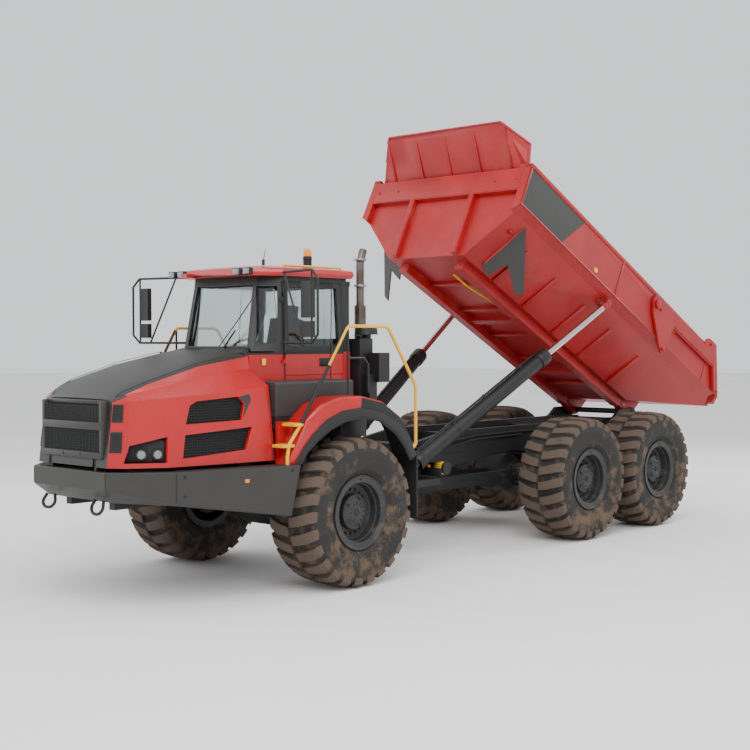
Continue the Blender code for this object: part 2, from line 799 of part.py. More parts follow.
g = DOOR_GAP
door_keep = block(0.70, 0.95, DOOR_FRONT + g, DOOR_REAR - g, DOOR_LOW + g, DOOR_HIGH - g)
node(
    "cab_door",
    "red_paint",
    [greenhouse(0.0, CAB_BELT, CAB_TOP), tub(0.0, DECK_TOP + 0.2, CAB_BELT + 0.002, DECK_FRONT + 0.005)],
    cuts=[
        tub(CAB_WALL, DECK_TOP, CAB_BELT + 0.02, DECK_FRONT + 0.165),
        greenhouse(CAB_WALL, CAB_BELT - 0.02, CAB_TOP + 0.02),
        plate([(-0.355, 2.86), (0.500, 2.86), (0.490, 3.575), (-0.340, 3.575)], "X", 0.70, 0.95),
    ],
    keep=door_keep,
    added=[m for z in KNUCKLES for m in knuckle(z + 0.0505, z + 0.100, DOOR_FRONT + g, -0.400)],
    pivot=(*DOOR_AXIS, CAB_BELT),
)


node(
    "cab_glazing",
    "glass",
    [greenhouse(CAB_WALL + FIT, CAB_BELT - 0.02, CAB_TOP + 0.02)],
    cuts=[
        greenhouse(CAB_WALL + FIT + GLASS, CAB_BELT - 0.05, CAB_TOP + 0.05),
        block(0.60, 1.00, DOOR_FRONT - 0.03, DOOR_REAR + 0.03, 2.60, 3.80),
    ],
    keep=block(-1.0, 1.0, -1.0, 1.0, 2.800, 3.660),
)
node(
    "door_glass",
    "glass",
    [greenhouse(CAB_WALL + FIT, CAB_BELT - 0.02, CAB_TOP + 0.02)],
    cuts=[greenhouse(CAB_WALL + FIT + GLASS, CAB_BELT - 0.05, CAB_TOP + 0.05)],
    keep=block(0.60, 1.00, DOOR_FRONT + 0.035, DOOR_REAR - 0.035, 2.820, 3.610),
    pivot=(*DOOR_AXIS, CAB_BELT),
)

roof_low = CAB_TOP + FIT
node(
    "cab_roof",
    "red_paint",
    [
        loft(
            [
                cab_plan(0.850, -0.800, 0.740, 0.630, -0.470, roof_low),
                cab_plan(0.880, -0.790, 0.760, 0.640, -0.470, roof_low + 0.045),
                cab_plan(0.865, -0.780, 0.745, 0.625, -0.465, roof_low + 0.095),
                cab_plan(0.620, -0.520, 0.520, 0.450, -0.320, roof_low + 0.135),
            ]
        ),
        *both(block(0.40, 0.56, -0.90, -0.76, roof_low + 0.005, roof_low + 0.055)),
        drum((0.30, 0.50, roof_low + 0.10), (0.30, 0.50, roof_low + 0.185), 0.012, sides=8),
        drum((0.30, 0.50, roof_low + 0.18), (0.30, 0.50, roof_low + 0.30), 0.055, sides=16),
    ],
)
node(
    "driver_seat",
    "seat_fabric",
    [
        block(-0.20, 0.20, -0.12, 0.30, FLOOR_TOP + FIT, 2.44),
        block(-0.27, 0.27, -0.18, 0.34, 2.42, 2.58),
        plate([(0.20, 2.50), (0.36, 2.50), (0.48, 3.18), (0.36, 3.22)], "X", -0.25, 0.25),
        plate([(0.37, 3.18), (0.47, 3.16), (0.50, 3.36), (0.41, 3.38)], "X", -0.14, 0.14),
    ],
)
wheel_centre = Vector((0.0, -0.36, 2.86))
tip = Matrix.Translation(wheel_centre) @ Matrix.Rotation(math.radians(28.0), 4, "X")
steering_rim = turned([(x * 0.016, 0.19 + r * 0.016) for x, r in [(1, 0), (0, 1), (-1, 0), (0, -1)]], (0, 0, 0), 20, closed=True)
steering_rim = moved(steering_rim, tip @ Matrix.Rotation(math.radians(90.0), 4, "Y"))
node(
    "dashboard",
    "black_plastic",
    [
        plate([(-0.715, FLOOR_TOP + FIT), (-0.52, FLOOR_TOP + FIT), (-0.46, 2.66), (-0.56, 2.78), (-0.70, 2.76)], "X", -0.52, 0.52),
        drum((0.0, -0.55, 2.60), wheel_centre, 0.035, sides=10),
        steering_rim,
        moved(block(-0.185, 0.185, -0.022, 0.022, -0.012, 0.012), tip),
    ],
)


# ------------------------------------------------------------------- mirrors
def mirror():
    """A swept tube frame on the roof's edge and the pillar, with a second upright that carries two heads."""
    frame = [
        (0.8857, -0.450, 3.730),
        (1.000, -0.575, 3.735),
        (1.610, -0.705, 3.735),
        (1.720, -0.725, 3.630),
        (1.720, -0.725, 3.000),
        (1.610, -0.705, 2.900),
        (1.000, -0.590, 2.900),
        (0.8650, -0.470, 2.900),
    ]
    return [
        pipe(frame, 0.015),
        pipe([(1.010, -0.580, 3.730), (1.430, -0.667, 2.905)], 0.012),
        pipe([(1.600, -0.703, 3.730), (1.600, -0.703, 2.905)], 0.012),
        block(1.430, 1.600, -0.712, -0.650, 3.190, 3.610),
        block(1.430, 1.600, -0.712, -0.650, 2.965, 3.150),
    ], []


pair("mirror", "black_plastic", mirror)

# ------------------------------------------------- exhaust and engine intake
node(
    "exhaust_stack",
    "exhaust_steel",
    [
        drum((0.62, 1.14, DECK_TOP + FIT), (0.62, 1.14, 3.38), 0.075, sides=20),
        pipe([(0.62, 1.14, 3.30), (0.62, 1.14, 3.93), (0.60, 1.22, 4.10)], 0.052, smooth=3),
    ],
)
node(
    "intake_tower",
    "black_paint",
    [
        block(-0.45, 0.50, 0.7305, 0.98, DECK_TOP + FIT, 2.95),
        block(-0.30, 0.42, 0.96, 1.20, DECK_TOP + FIT, 2.62),
        block(0.48, 0.98, 0.7305, 0.96, DECK_TOP + FIT, 2.62),
        block(0.74, 0.97, 0.76, 1.00, 2.60, 2.95),
        drum((0.86, 1.00, 2.90), (0.86, 1.00, 3.02), 0.060, sides=16),
        drum((0.86, 1.00, 3.00), (0.86, 1.00, 3.10), 0.150, 0.135, sides=20),
        drum((0.58, 0.885, 2.60), (0.58, 0.885, 3.64), 0.062, sides=16),
        drum((0.58, 0.885, 3.62), (0.58, 0.885, 3.68), 0.074, sides=16),
        block(0.96, 1.10, 0.80, 0.94, DECK_TOP + FIT, 2.50),
        block(0.99, 1.17, 0.90, 1.10, 2.40, 2.77),
    ],
)

# ------------------------------------------------ articulation and rear frame
node(
    "hitch_yoke",
    "cast_grey",
    [
        drum((0, STEER_PIVOT, 0.86 + FIT), (0, STEER_PIVOT, 1.34 - FIT), 0.120),
        block(-0.10, 0.10, STEER_PIVOT, 1.80, 0.90, 1.30),
        drum((0, 1.72, 1.10), (0, 1.86, 1.10), 0.240),
        drum((0, 1.84, 1.10), (0, 2.240, 1.10), 0.160, sides=24),
        plate(
            [(-0.47, 1.74), (-0.40, 1.70), (0.40, 1.70), (0.47, 1.74), (0.48, 1.81), (0.42, 1.84), (-0.42, 1.84), (-0.48, 1.81)],
            "Z",
            1.045,
            1.100,
        ),
    ],
    cuts=[bore((0, STEER_PIVOT, 0.70), (0, STEER_PIVOT, 1.50), STEER_PIN_RADIUS)],
    pivot=(0, STEER_PIVOT, 1.10),
)

frame_in = FRAME_OUT - FRAME_PLATE
rail_outline = [
    (2.16, 0.96),
    (2.60, 0.96),
    (3.18, 1.157),
    (4.70, 1.280),
    (6.60, 1.280),
    (7.40, 1.380),
    (7.86, 1.400),
    (7.86, 1.620),
    (7.40, FRAME_TOP),
    (3.00, FRAME_TOP),
    (2.30, 1.520),
    (2.16, 1.400),
]


def hoist_axis():
    """Unit axis of the left hoist cylinder's base pin: it turns the lowered line onto the raised one."""
    top = raised(HOIST_TOP_LOWERED)
    return (HOIST_TOP_LOWERED - HOIST_BASE).cross(top - HOIST_BASE).normalized(), top


HOIST_AXIS, HOIST_TOP = hoist_axis()

node(
    "rear_frame",
    "black_paint",
    [
        *both(
            plate(rail_outline, "X", frame_in, FRAME_OUT),
            plate(
                [(0.50, 1.95), (0.585, 1.90), (0.585, 1.84), (0.90, 1.84), (0.90, 2.42), (0.50, 2.42)],
                "Z",
                0.960,
                1.050,
            ),
            plate([(2.30, 1.00), (2.30, 1.27), (1.97, 1.27), (1.86, 1.23), (1.84, 1.00)], "X", 0.590, 0.630),
            plate([(1.985, 1.00), (1.985, 1.24), (1.95, 1.27), (1.87, 1.27), (1.84, 1.23), (1.84, 1.00)], "X", 0.830, 0.870),
            drum(HOIST_BASE - HOIST_AXIS * 0.125, HOIST_BASE + HOIST_AXIS * 0.125, 0.040),
            block(0.55, 0.61, 7.00, 7.80, 1.42, 1.60),
            plate(
                [(6.75, 1.44), (7.80, 1.40), (7.86, 1.50), (7.84, 1.74), (7.79, 1.790), (7.66, 1.775), (7.35, 1.770), (7.20, 1.66)],
                "X",
                0.605,
                0.660,
            ),
            block(0.54, 0.76, 2.50, 2.60, 1.12, 1.24),
            drum((0.74, 2.55, 1.175), (0.92, 2.55, 1.175), 0.088),
        ),
        drum((0, 1.8605, 1.10), (0, 2.305, 1.10), 0.272),
        block(-FRAME_OUT, FRAME_OUT, 2.16, 2.42, 0.88, 1.50),
        block(-frame_in - 0.01, frame_in + 0.01, 3.60, 3.76, 1.30, 1.56),
        block(-frame_in - 0.01, frame_in + 0.01, 5.80, 5.96, 1.30, 1.56),
        block(-frame_in - 0.01, frame_in + 0.01, 7.56, 7.84, 1.42, 1.60),
        drum((-0.670, BODY_HINGE.y, BODY_HINGE.z), (0.670, BODY_HINGE.y, BODY_HINGE.z), BODY_PIN_RADIUS),
    ],
    cuts=[bore((0, 1.80, 1.10), (0, 2.2415, 1.10), 0.160, 24)],
    pivot=(0, 1.86, 1.10),
)


# ------------------------------------------------------------------ cylinders
def cylinder_pair(name, base, tip_point, axis, barrel, rod, eyes):
    """A barrel bored from its open end and the rod that runs in it, on both sides of the machine.

    barrel is (neck, length, radius, bore's start), rod is (start, radius), and eyes holds
    the base eye's radius, half width and pin radius, then the tip eye's radius, half
    width, stub pin's reach and radius, and axis.
    """
    neck, barrel_length, barrel_radius, bore_start = barrel
    rod_start, rod_radius = rod
    eye, half, pin, tip_eye, tip_half, stub, stub_radius, tip_axis = eyes
    along = (tip_point - base).normalized()
    length = (tip_point - base).length

    def build_barrel():
        solids = [
            drum(base + along * eye * 0.7, base + along * (neck + 0.05), eye * 0.6),
            drum(base + along * neck, base + along * barrel_length, barrel_radius),
            drum(base - axis * half, base + axis * half, eye),
        ]
        cuts = [
            bore(base + along * bore_start, base + along * (barrel_length + 0.1), rod_radius, 16),
            bore(base - axis * half * 1.5, base + axis * half * 1.5, pin),
        ]
        return solids, cuts

    def build_rod():
        return [
            drum(base + along * rod_start, base + along * (length - tip_eye * 0.4), rod_radius, sides=16),
            drum(tip_point - tip_axis * tip_half, tip_point + tip_axis * tip_half, tip_eye),
            drum(tip_point, tip_point + tip_axis * stub, stub_radius),
        ], []

    pair(f"{name}_barrel", "black_paint", build_barrel, tuple(base))
    pair(f"{name}_rod", "chrome", build_rod, tuple(base))


cylinder_pair(
    "hoist",
    HOIST_BASE,
    HOIST_TOP,
    HOIST_AXIS,
    (0.200, HOIST_BARREL, HOIST_BARREL_RADIUS, 0.290),
    (1.300, HOIST_ROD_RADIUS),
    (0.090, 0.050, 0.040, 0.060, 0.034, -0.068, 0.034, Vector((1.0, 0.0, 0.0))),
)
cylinder_pair(
    "steer",
    STEER_ANCHOR,
    STEER_LUG,
    Vector((0.0, 0.0, 1.0)),
    (0.075, STEER_BARREL, 0.052, 0.120),
    (0.480, 0.026),
    (0.050, 0.045, 0.025, 0.050, 0.034, 0.048, 0.025, Vector((0.0, 0.0, 1.0))),
)


# ----------------------------------------------------------------- dump body
def tail_floor(y):
    return FLOOR_LOW + TAIL_RISE * max(0.0, y - TAIL_START) / (TAIL_END - TAIL_START)


def chine_x(z):
    return FLOOR_HALF + (z - FLOOR_LOW) * (CHINE_X - FLOOR_HALF) / (CHINE_Z - FLOOR_LOW)


def floor_ring(y):
    z = tail_floor(y)
    x = chine_x(z) - FIT
    return [(-x, y, z), (x, y, z), (x, y, z + FLOOR_THICK), (-x, y, z + FLOOR_THICK)]


hoist_lug_x = HOIST_TOP_LOWERED.x
lug_outline = [
    (7.38, 1.690),
    (7.70, 1.635),
    (7.76, 1.632),
    (7.83, 1.670),
    (7.845, 1.740),
    (7.98, 2.010),
    (7.90, 1.990),
    (7.40, 1.800),
]
node(
    "body_floor",
    "red_paint",
    [
        loft([floor_ring(y) for y in (WALL_FRONT + WALL_THICK + FIT, TAIL_START, TAIL_END)]),
        *both(
            block(0.450, 0.598, 2.75, 7.40, FRAME_TOP + 0.020, FLOOR_LOW + 0.01),
            plate(lug_outline, "X", 0.462, 0.598),
        ),
        block(-0.50, 0.50, 4.40, 4.52, 1.70, FLOOR_LOW + 0.01),
        block(-0.50, 0.50, 6.20, 6.32, 1.70, FLOOR_LOW + 0.01),
    ],
    cuts=both(bore((0.40, BODY_HINGE.y, BODY_HINGE.z), (0.64, BODY_HINGE.y, BODY_HINGE.z), BODY_PIN_RADIUS, phase=0.0)),
    pivot=tuple(BODY_HINGE),
    on_body=True,
)


def body_side():
    front = WALL_FRONT + WALL_THICK + FIT
    rise = (CHINE_Z - FLOOR_LOW) / (CHINE_X - FLOOR_HALF)

    def chine_ring(y, y_top):
        z = tail_floor(y)
        x = chine_x(z)
        return [(x, y, z), (1.400, y_top, FLOOR_LOW + (1.400 - FLOOR_HALF) * rise), (1.400, y_top, 2.512), (x, y, z + 0.044)]

    chine = loft([chine_ring(front, front), chine_ring(TAIL_START, TAIL_START), chine_ring(8.870, 8.720)])

    def band_ring(y_low, y_high):
        return [(SIDE_IN, y_low, 2.437), (SIDE_OUT, y_low, SIDE_LOW), (SIDE_OUT, y_high, SIDE_TOP), (SIDE_IN, y_high, SIDE_TOP)]

    band = loft([band_ring(2.500, 2.500), band_ring(8.700, 8.330)])
    top = HOIST_TOP_LOWERED
    bracket = plate(
        [(top.y - 0.12, 2.42), (top.y - 0.07, top.z - 0.06), (top.y + 0.07, top.z - 0.06), (top.y + 0.12, 2.42)],
        "X",
        1.300,
        1.342,
    )
    boss = drum((SIDE_OUT - 0.02, *GATE_PIVOT), (SIDE_OUT + 0.075, *GATE_PIVOT), 0.045)
    return [chine, band, bracket, boss], []


pair("body_side", "red_paint", body_side, pivot=tuple(BODY_HINGE), on_body=True)

wall_outline = [
    (-FLOOR_HALF, FLOOR_LOW),
    (FLOOR_HALF, FLOOR_LOW),
    (SIDE_IN - FIT - 0.001, CHINE_Z - 0.008),
    (SIDE_IN - FIT - 0.001, 3.22),
    (-SIDE_IN + FIT + 0.001, 3.22),
    (-SIDE_IN + FIT + 0.001, CHINE_Z - 0.008),
]


def canopy():
    """The spill guard: it leans forward from the wall's top and turns back at both ends."""
    low = [(-1.365, 2.600, 3.14), (-1.20, 2.590, 3.14), (1.20, 2.590, 3.14), (1.365, 2.600, 3.14)]
    high = [(-1.365, 2.470, 3.495), (-1.050, 2.066, 3.643), (1.050, 2.066, 3.643), (1.365, 2.470, 3.495)]
    rings = []
    for a, b in zip(low, high):
        back = Vector((0.0, 0.035, 0.020))
        rings.append([a, b, tuple(Vector(b) + back), tuple(Vector(a) + back)])
    return loft(rings)


node(
    "body_front_wall",
    "red_paint",
    [
        plate(wall_outline, "Y", WALL_FRONT, WALL_FRONT + WALL_THICK),
        canopy(),
        block(-SIDE_IN + 0.0015, SIDE_IN - 0.0015, 2.500, WALL_FRONT + 0.01, 2.750, 3.116),
        *both(
            block(0.520, 0.600, 2.500, WALL_FRONT + 0.01, FLOOR_LOW + 0.02, 2.76),
            plate([(2.590, 3.10), (2.180, 3.52), (2.130, 3.592), (2.140, 3.610), (2.600, 3.19)], "X", 0.530, 0.560),
        ),
    ],
    pivot=tuple(BODY_HINGE),
    on_body=True,
)


def stone_guard():
    """A plate that hangs straight down from a bar across the chine while the body is raised."""
    slope = (CHINE_Z - FLOOR_LOW) / (CHINE_X - FLOOR_HALF)
    away = Vector((slope, 0.0, -1.0)).normalized() * FIT * 1.5
    top = Vector((1.340, 2.950, FLOOR_LOW + (1.340 - FLOOR_HALF) * slope)) + away
    bar = Vector((-0.580, 0.0, -0.580 * slope))
    drop = Vector((0.0, math.sin(TILT), -math.cos(TILT)))
    thick = bar.cross(drop).normalized() * 0.020
    outline = [(0.0, 0.0), (1.0, 0.0), (0.90, 0.22), (0.42, 0.30), (0.23, 0.86), (0.03, 0.89)]
    front = [top + bar * s + drop * t for s, t in outline]
    return [loft([[tuple(p) for p in front], [tuple(p + thick) for p in front]])], []


pair("stone_guard", "dark_grey_paint", stone_guard, pivot=tuple(BODY_HINGE), on_body=True)


# ------------------------------------------------------------------ tailgate
def gate_panel():
    """The rear panel slopes with the sides' rear edge and folds out over the floor's tail."""
    outer = SIDE_OUT + 0.040
    rows = []
    for y, z, half in ((8.318, 3.260, outer), (8.735, 2.515, outer), (8.850, 2.425, 1.420)):
        rows.append([(-half, y, z), (half, y, z), (half, y + 0.075, z), (-half, y + 0.075, z)])
    return loft(rows)


def gate_arm():
    y, z = GATE_PIVOT
    arm = [
        (y - 0.13, z + 0.03),
        (y - 0.09, z + 0.12),
        (y + 0.02, z + 0.15),
        (8.00, 3.110),
        (8.03, 3.230),
        (8.11, 3.280),
        (8.36, 3.280),
        (8.79, 2.520),
        (8.62, 2.520),
        (8.40, 2.880),
        (6.95, 2.860),
        (6.86, 2.440),
        (6.77, 2.340),
        (6.68, 2.400),
        (y - 0.05, z - 0.16),
    ]
    return plate(arm, "X", SIDE_OUT + 0.010, SIDE_OUT + 0.050)


arm_left = gate_arm()
node(
    "tailgate",
    "red_paint",
    [gate_panel(), *both(arm_left)],
    cuts=both(bore((SIDE_OUT - 0.05, *GATE_PIVOT), (SIDE_OUT + 0.12, *GATE_PIVOT), 0.045)),
    pivot=(0.0, *GATE_PIVOT),
    on_body=True,
)
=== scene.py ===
"""Looks of an articulated dump truck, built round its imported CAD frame.

Metres, +Z up, nose towards -Y, the machine's left side at +X.  Lengthwise places
are stations: they count from the front axle, which the frame's own wheel joint
gives, and the dump body's pieces are built lowered and then turned up with it.
"""

from __future__ import annotations

import json
import logging
import math
import random
from collections.abc import Callable, Iterable, Sequence
from dataclasses import dataclass, field
from enum import Enum
from typing import Any

import bmesh
import bpy
from mathutils import Matrix, Vector

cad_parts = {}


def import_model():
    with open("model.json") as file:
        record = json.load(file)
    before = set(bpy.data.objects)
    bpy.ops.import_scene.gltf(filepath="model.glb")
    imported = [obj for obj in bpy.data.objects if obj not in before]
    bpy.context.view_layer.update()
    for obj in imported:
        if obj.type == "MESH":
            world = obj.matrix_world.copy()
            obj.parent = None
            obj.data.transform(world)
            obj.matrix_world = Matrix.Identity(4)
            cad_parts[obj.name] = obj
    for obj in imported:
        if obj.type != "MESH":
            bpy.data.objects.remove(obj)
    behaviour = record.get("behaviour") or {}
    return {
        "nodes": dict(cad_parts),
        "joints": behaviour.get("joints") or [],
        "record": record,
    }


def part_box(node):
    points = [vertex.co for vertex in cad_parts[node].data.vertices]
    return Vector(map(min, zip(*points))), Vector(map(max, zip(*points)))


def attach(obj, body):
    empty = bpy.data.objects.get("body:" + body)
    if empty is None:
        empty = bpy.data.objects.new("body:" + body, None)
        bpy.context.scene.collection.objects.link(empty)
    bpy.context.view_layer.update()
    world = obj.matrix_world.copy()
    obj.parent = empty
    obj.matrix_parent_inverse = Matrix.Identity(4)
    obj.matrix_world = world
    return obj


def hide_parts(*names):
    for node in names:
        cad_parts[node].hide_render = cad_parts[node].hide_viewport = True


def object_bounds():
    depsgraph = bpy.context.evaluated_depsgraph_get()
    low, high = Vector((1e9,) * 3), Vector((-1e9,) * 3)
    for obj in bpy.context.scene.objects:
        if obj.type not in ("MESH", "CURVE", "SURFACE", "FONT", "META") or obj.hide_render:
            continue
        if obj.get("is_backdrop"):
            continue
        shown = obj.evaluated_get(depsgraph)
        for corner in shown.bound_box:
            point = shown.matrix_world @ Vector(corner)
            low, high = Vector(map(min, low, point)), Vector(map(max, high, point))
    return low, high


LOG = logging.getLogger("dump_truck")

Point = Sequence[float]


class Side(Enum):
    """The two sides of the machine, with the sign of X on each."""

    LEFT = 1
    RIGHT = -1

    @property
    def word(self) -> str:
        """The side's name as node names end with it."""
        return self.name.lower()


class Slot(Enum):
    """The record's material slots."""

    RED = "red_paint"
    GREY = "dark_grey_paint"
    BLACK = "black_paint"
    TYRE = "tyre_rubber"
    RIM = "rim_grey"
    GLASS = "glass"
    YELLOW = "yellow_paint"
    PLASTIC = "black_plastic"
    CHROME = "chrome"
    EXHAUST = "exhaust_steel"
    SEAT = "seat_fabric"
    CAST = "cast_grey"


def linear(code: str, alpha: float = 1.0) -> tuple[float, float, float, float]:
    """Turn an sRGB hex colour to linear values.

    Args:
        code: Six hex digits.
        alpha: The fourth value.

    Returns:
        Red, green, blue and alpha.
    """
    parts = [int(code[i : i + 2], 16) / 255 for i in (0, 2, 4)]
    low = [c / 12.92 if c <= 0.04045 else ((c + 0.055) / 1.055) ** 2.4 for c in parts]
    return low[0], low[1], low[2], alpha


def add(tree: bpy.types.NodeTree, kind: str, inputs: dict[Any, Any] | None = None, **settings: Any) -> Any:
    """Add a node with its settings and links.

    Args:
        tree: The material's node tree.
        kind: The node's Blender type.
        inputs: Socket name or number to a value, or to another node's output.
        settings: The node's own properties.

    Returns:
        The new node.
    """
    node = tree.nodes.new(kind)
    for key, value in settings.items():
        setattr(node, key, value)
    for key, value in (inputs or {}).items():
        if isinstance(value, bpy.types.NodeSocket):
            tree.links.new(value, node.inputs[key])
        else:
            node.inputs[key].default_value = value
    return node


# ------------------------------------------------------------------- finishes
@dataclass(frozen=True)
class Finish:
    """A surface as it was made, with the soil that work has left on it.

    The soil is patches of dried mud: more of them low down, none above soil_top.
    """

    name: str
    slot: Slot
    colour: str
    roughness: float
    metallic: float = 0.0
    coat: float = 0.0
    shade: float = 0.12
    patch_mm: float = 420.0
    grit_mm: float = 26.0
    bump_mm: float = 0.4
    soil: float = 0.25
    soil_top: float = 2.6
    soil_colour: str = "7A624C"
    soil_dark: str = "54432F"
    specks: float = 0.0

    def material(self) -> bpy.types.Material:
        """The finish's material, made once."""
        made = bpy.data.materials.get(self.name)
        if made is None:
            made = bpy.data.materials.new(self.name)
            made.use_nodes = True
            made.diffuse_color = linear(self.colour)
            made.node_tree.nodes.clear()
            self.weave(made.node_tree)
        return made

    def weave(self, tree: bpy.types.NodeTree) -> None:
        """Lay out the nodes: base colour with slow shading, soil over it, and fine relief."""
        place = add(tree, "ShaderNodeTexCoord").outputs["Object"]
        height = add(tree, "ShaderNodeSeparateXYZ", {0: place}).outputs["Z"]
        cloud = add(
            tree,
            "ShaderNodeTexNoise",
            {"Vector": place, "Scale": 1000 / self.patch_mm, "Detail": 7.0, "Roughness": 0.62},
        ).outputs["Fac"]
        grit = add(
            tree,
            "ShaderNodeTexNoise",
            {"Vector": place, "Scale": 1000 / self.grit_mm, "Detail": 5.0, "Roughness": 0.7},
        ).outputs["Fac"]
        low = add(
            tree,
            "ShaderNodeMapRange",
            {"Value": height, "From Min": 0.0, "From Max": self.soil_top, "To Min": 0.20 * (self.soil > 0), "To Max": -0.12},
        ).outputs[0]
        mixed = add(tree, "ShaderNodeMath", {0: grit, 1: 0.42}, operation="MULTIPLY").outputs[0]
        summed = add(tree, "ShaderNodeMath", {0: cloud, 1: mixed}, operation="ADD").outputs[0]
        summed = add(tree, "ShaderNodeMath", {0: summed, 1: low}, operation="ADD").outputs[0]
        edge = 1.06 - 0.42 * self.soil
        soil = add(
            tree,
            "ShaderNodeMapRange",
            {"Value": summed, "From Min": edge - 0.05, "From Max": edge + 0.09, "To Max": min(1.0, 0.35 + self.soil)},
        ).outputs[0]
        if self.specks:
            dots = add(
                tree,
                "ShaderNodeTexVoronoi",
                {"Vector": place, "Scale": 1000 / (self.grit_mm * 2.2), "Randomness": 1.0},
            ).outputs["Distance"]
            thin = add(
                tree,
                "ShaderNodeMapRange",
                {"Value": cloud, "From Min": 0.42, "From Max": 0.70, "To Min": 0.02, "To Max": 0.02 + 0.30 * self.specks},
            ).outputs[0]
            dot = add(tree, "ShaderNodeMath", {0: dots, 1: thin}, operation="LESS_THAN").outputs[0]
            dot = add(tree, "ShaderNodeMath", {0: dot, 1: 0.8}, operation="MULTIPLY").outputs[0]
            soil = add(tree, "ShaderNodeMath", {0: soil, 1: dot}, operation="MAXIMUM").outputs[0]
        body = self.body_colour(tree, place, cloud, grit)
        mud = add(
            tree,
            "ShaderNodeMix",
            {"Factor": grit, 6: linear(self.soil_dark), 7: linear(self.soil_colour)},
            data_type="RGBA",
        ).outputs[2]
        colour = add(tree, "ShaderNodeMix", {"Factor": soil, 6: body, 7: mud}, data_type="RGBA").outputs[2]
        rough = add(
            tree,
            "ShaderNodeMapRange",
            {"Value": soil, "To Min": self.roughness, "To Max": 0.92},
        ).outputs[0]
        worn = add(tree, "ShaderNodeMath", {0: grit, 1: 0.10}, operation="MULTIPLY").outputs[0]
        rough = add(tree, "ShaderNodeMath", {0: rough, 1: worn}, operation="ADD", use_clamp=True).outputs[0]
        relief = add(tree, "ShaderNodeMath", {0: grit, 1: 0.35}, operation="MULTIPLY").outputs[0]
        crust = add(tree, "ShaderNodeMath", {0: soil, 1: 4.0}, operation="MULTIPLY").outputs[0]
        relief = add(tree, "ShaderNodeMath", {0: relief, 1: crust}, operation="ADD").outputs[0]
        bump = add(
            tree,
            "ShaderNodeBump",
            {"Height": relief, "Strength": 0.5, "Distance": self.bump_mm / 1000},
        ).outputs[0]
        shader = add(
            tree,
            "ShaderNodeBsdfPrincipled",
            {"Base Color": colour, "Roughness": rough, "Normal": bump, "Metallic": self.metallic},
        )
        shader.inputs["Coat Weight"].default_value = self.coat
        shader.inputs["Coat Roughness"].default_value = 0.12
        add(tree, "ShaderNodeOutputMaterial", {"Surface": shader.outputs[0]})

    def body_colour(self, tree: bpy.types.NodeTree, place: Any, cloud: Any, grit: Any) -> Any:
        """The clean surface's colour: the base, darker where the slow noise is low."""
        deep = [c * (1 - 2.2 * self.shade) for c in linear(self.colour)[:3]]
        light = [min(1.0, c * (1 + self.shade)) for c in linear(self.colour)[:3]]
        spread = add(
            tree, "ShaderNodeMapRange", {"Value": cloud, "From Min": 0.3, "From Max": 0.7}
        ).outputs[0]
        return add(
            tree, "ShaderNodeMix", {"Factor": spread, 6: (*deep, 1.0), 7: (*light, 1.0)}, data_type="RGBA"
        ).outputs[2]


@dataclass(frozen=True)
class Woven(Finish):
    """A plain weave seen from near: crossing threads lift and darken the cloth."""

    thread_mm: float = 9.0

    def body_colour(self, tree: bpy.types.NodeTree, place: Any, cloud: Any, grit: Any) -> Any:
        """Two crossing bands of thread; the real thread is finer, and this pitch is the least that shows."""
        warp = add(
            tree, "ShaderNodeTexWave", {"Vector": place, "Scale": 314 / self.thread_mm}, bands_direction="X"
        ).outputs["Fac"]
        weft = add(
            tree, "ShaderNodeTexWave", {"Vector": place, "Scale": 314 / self.thread_mm}, bands_direction="Z"
        ).outputs["Fac"]
        both = add(tree, "ShaderNodeMath", {0: warp, 1: weft}, operation="MULTIPLY").outputs[0]
        dark = [c * 0.55 for c in linear(self.colour)[:3]]
        return add(
            tree, "ShaderNodeMix", {"Factor": both, 6: (*dark, 1.0), 7: linear(self.colour)}, data_type="RGBA"
        ).outputs[2]


@dataclass(frozen=True)
class Glazed(Finish):
    """Toughened float glass or a moulded lens: clear, with a thin film of dust."""

    ior: float = 1.5
    clear: float = 1.0
    glow: float = 0.0

    def weave(self, tree: bpy.types.NodeTree) -> None:
        """Lay out the nodes: a clear body whose gloss a dusty film dulls."""
        place = add(tree, "ShaderNodeTexCoord").outputs["Object"]
        film = add(
            tree,
            "ShaderNodeTexNoise",
            {"Vector": place, "Scale": 1000 / self.patch_mm, "Detail": 6.0},
        ).outputs["Fac"]
        rough = add(
            tree,
            "ShaderNodeMapRange",
            {"Value": film, "From Min": 0.45, "From Max": 0.75, "To Min": self.roughness, "To Max": self.roughness + 0.12},
        ).outputs[0]
        tint = add(
            tree,
            "ShaderNodeMix",
            {"Factor": film, 6: linear(self.colour), 7: [0.86 * c for c in linear(self.colour)[:3]] + [1.0]},
            data_type="RGBA",
        ).outputs[2]
        shader = add(tree, "ShaderNodeBsdfPrincipled", {"Base Color": tint, "Roughness": rough})
        shader.inputs["IOR"].default_value = self.ior
        shader.inputs["Transmission Weight"].default_value = self.clear
        shader.inputs["Emission Color"].default_value = linear(self.colour)
        shader.inputs["Emission Strength"].default_value = self.glow
        add(tree, "ShaderNodeOutputMaterial", {"Surface": shader.outputs[0]})


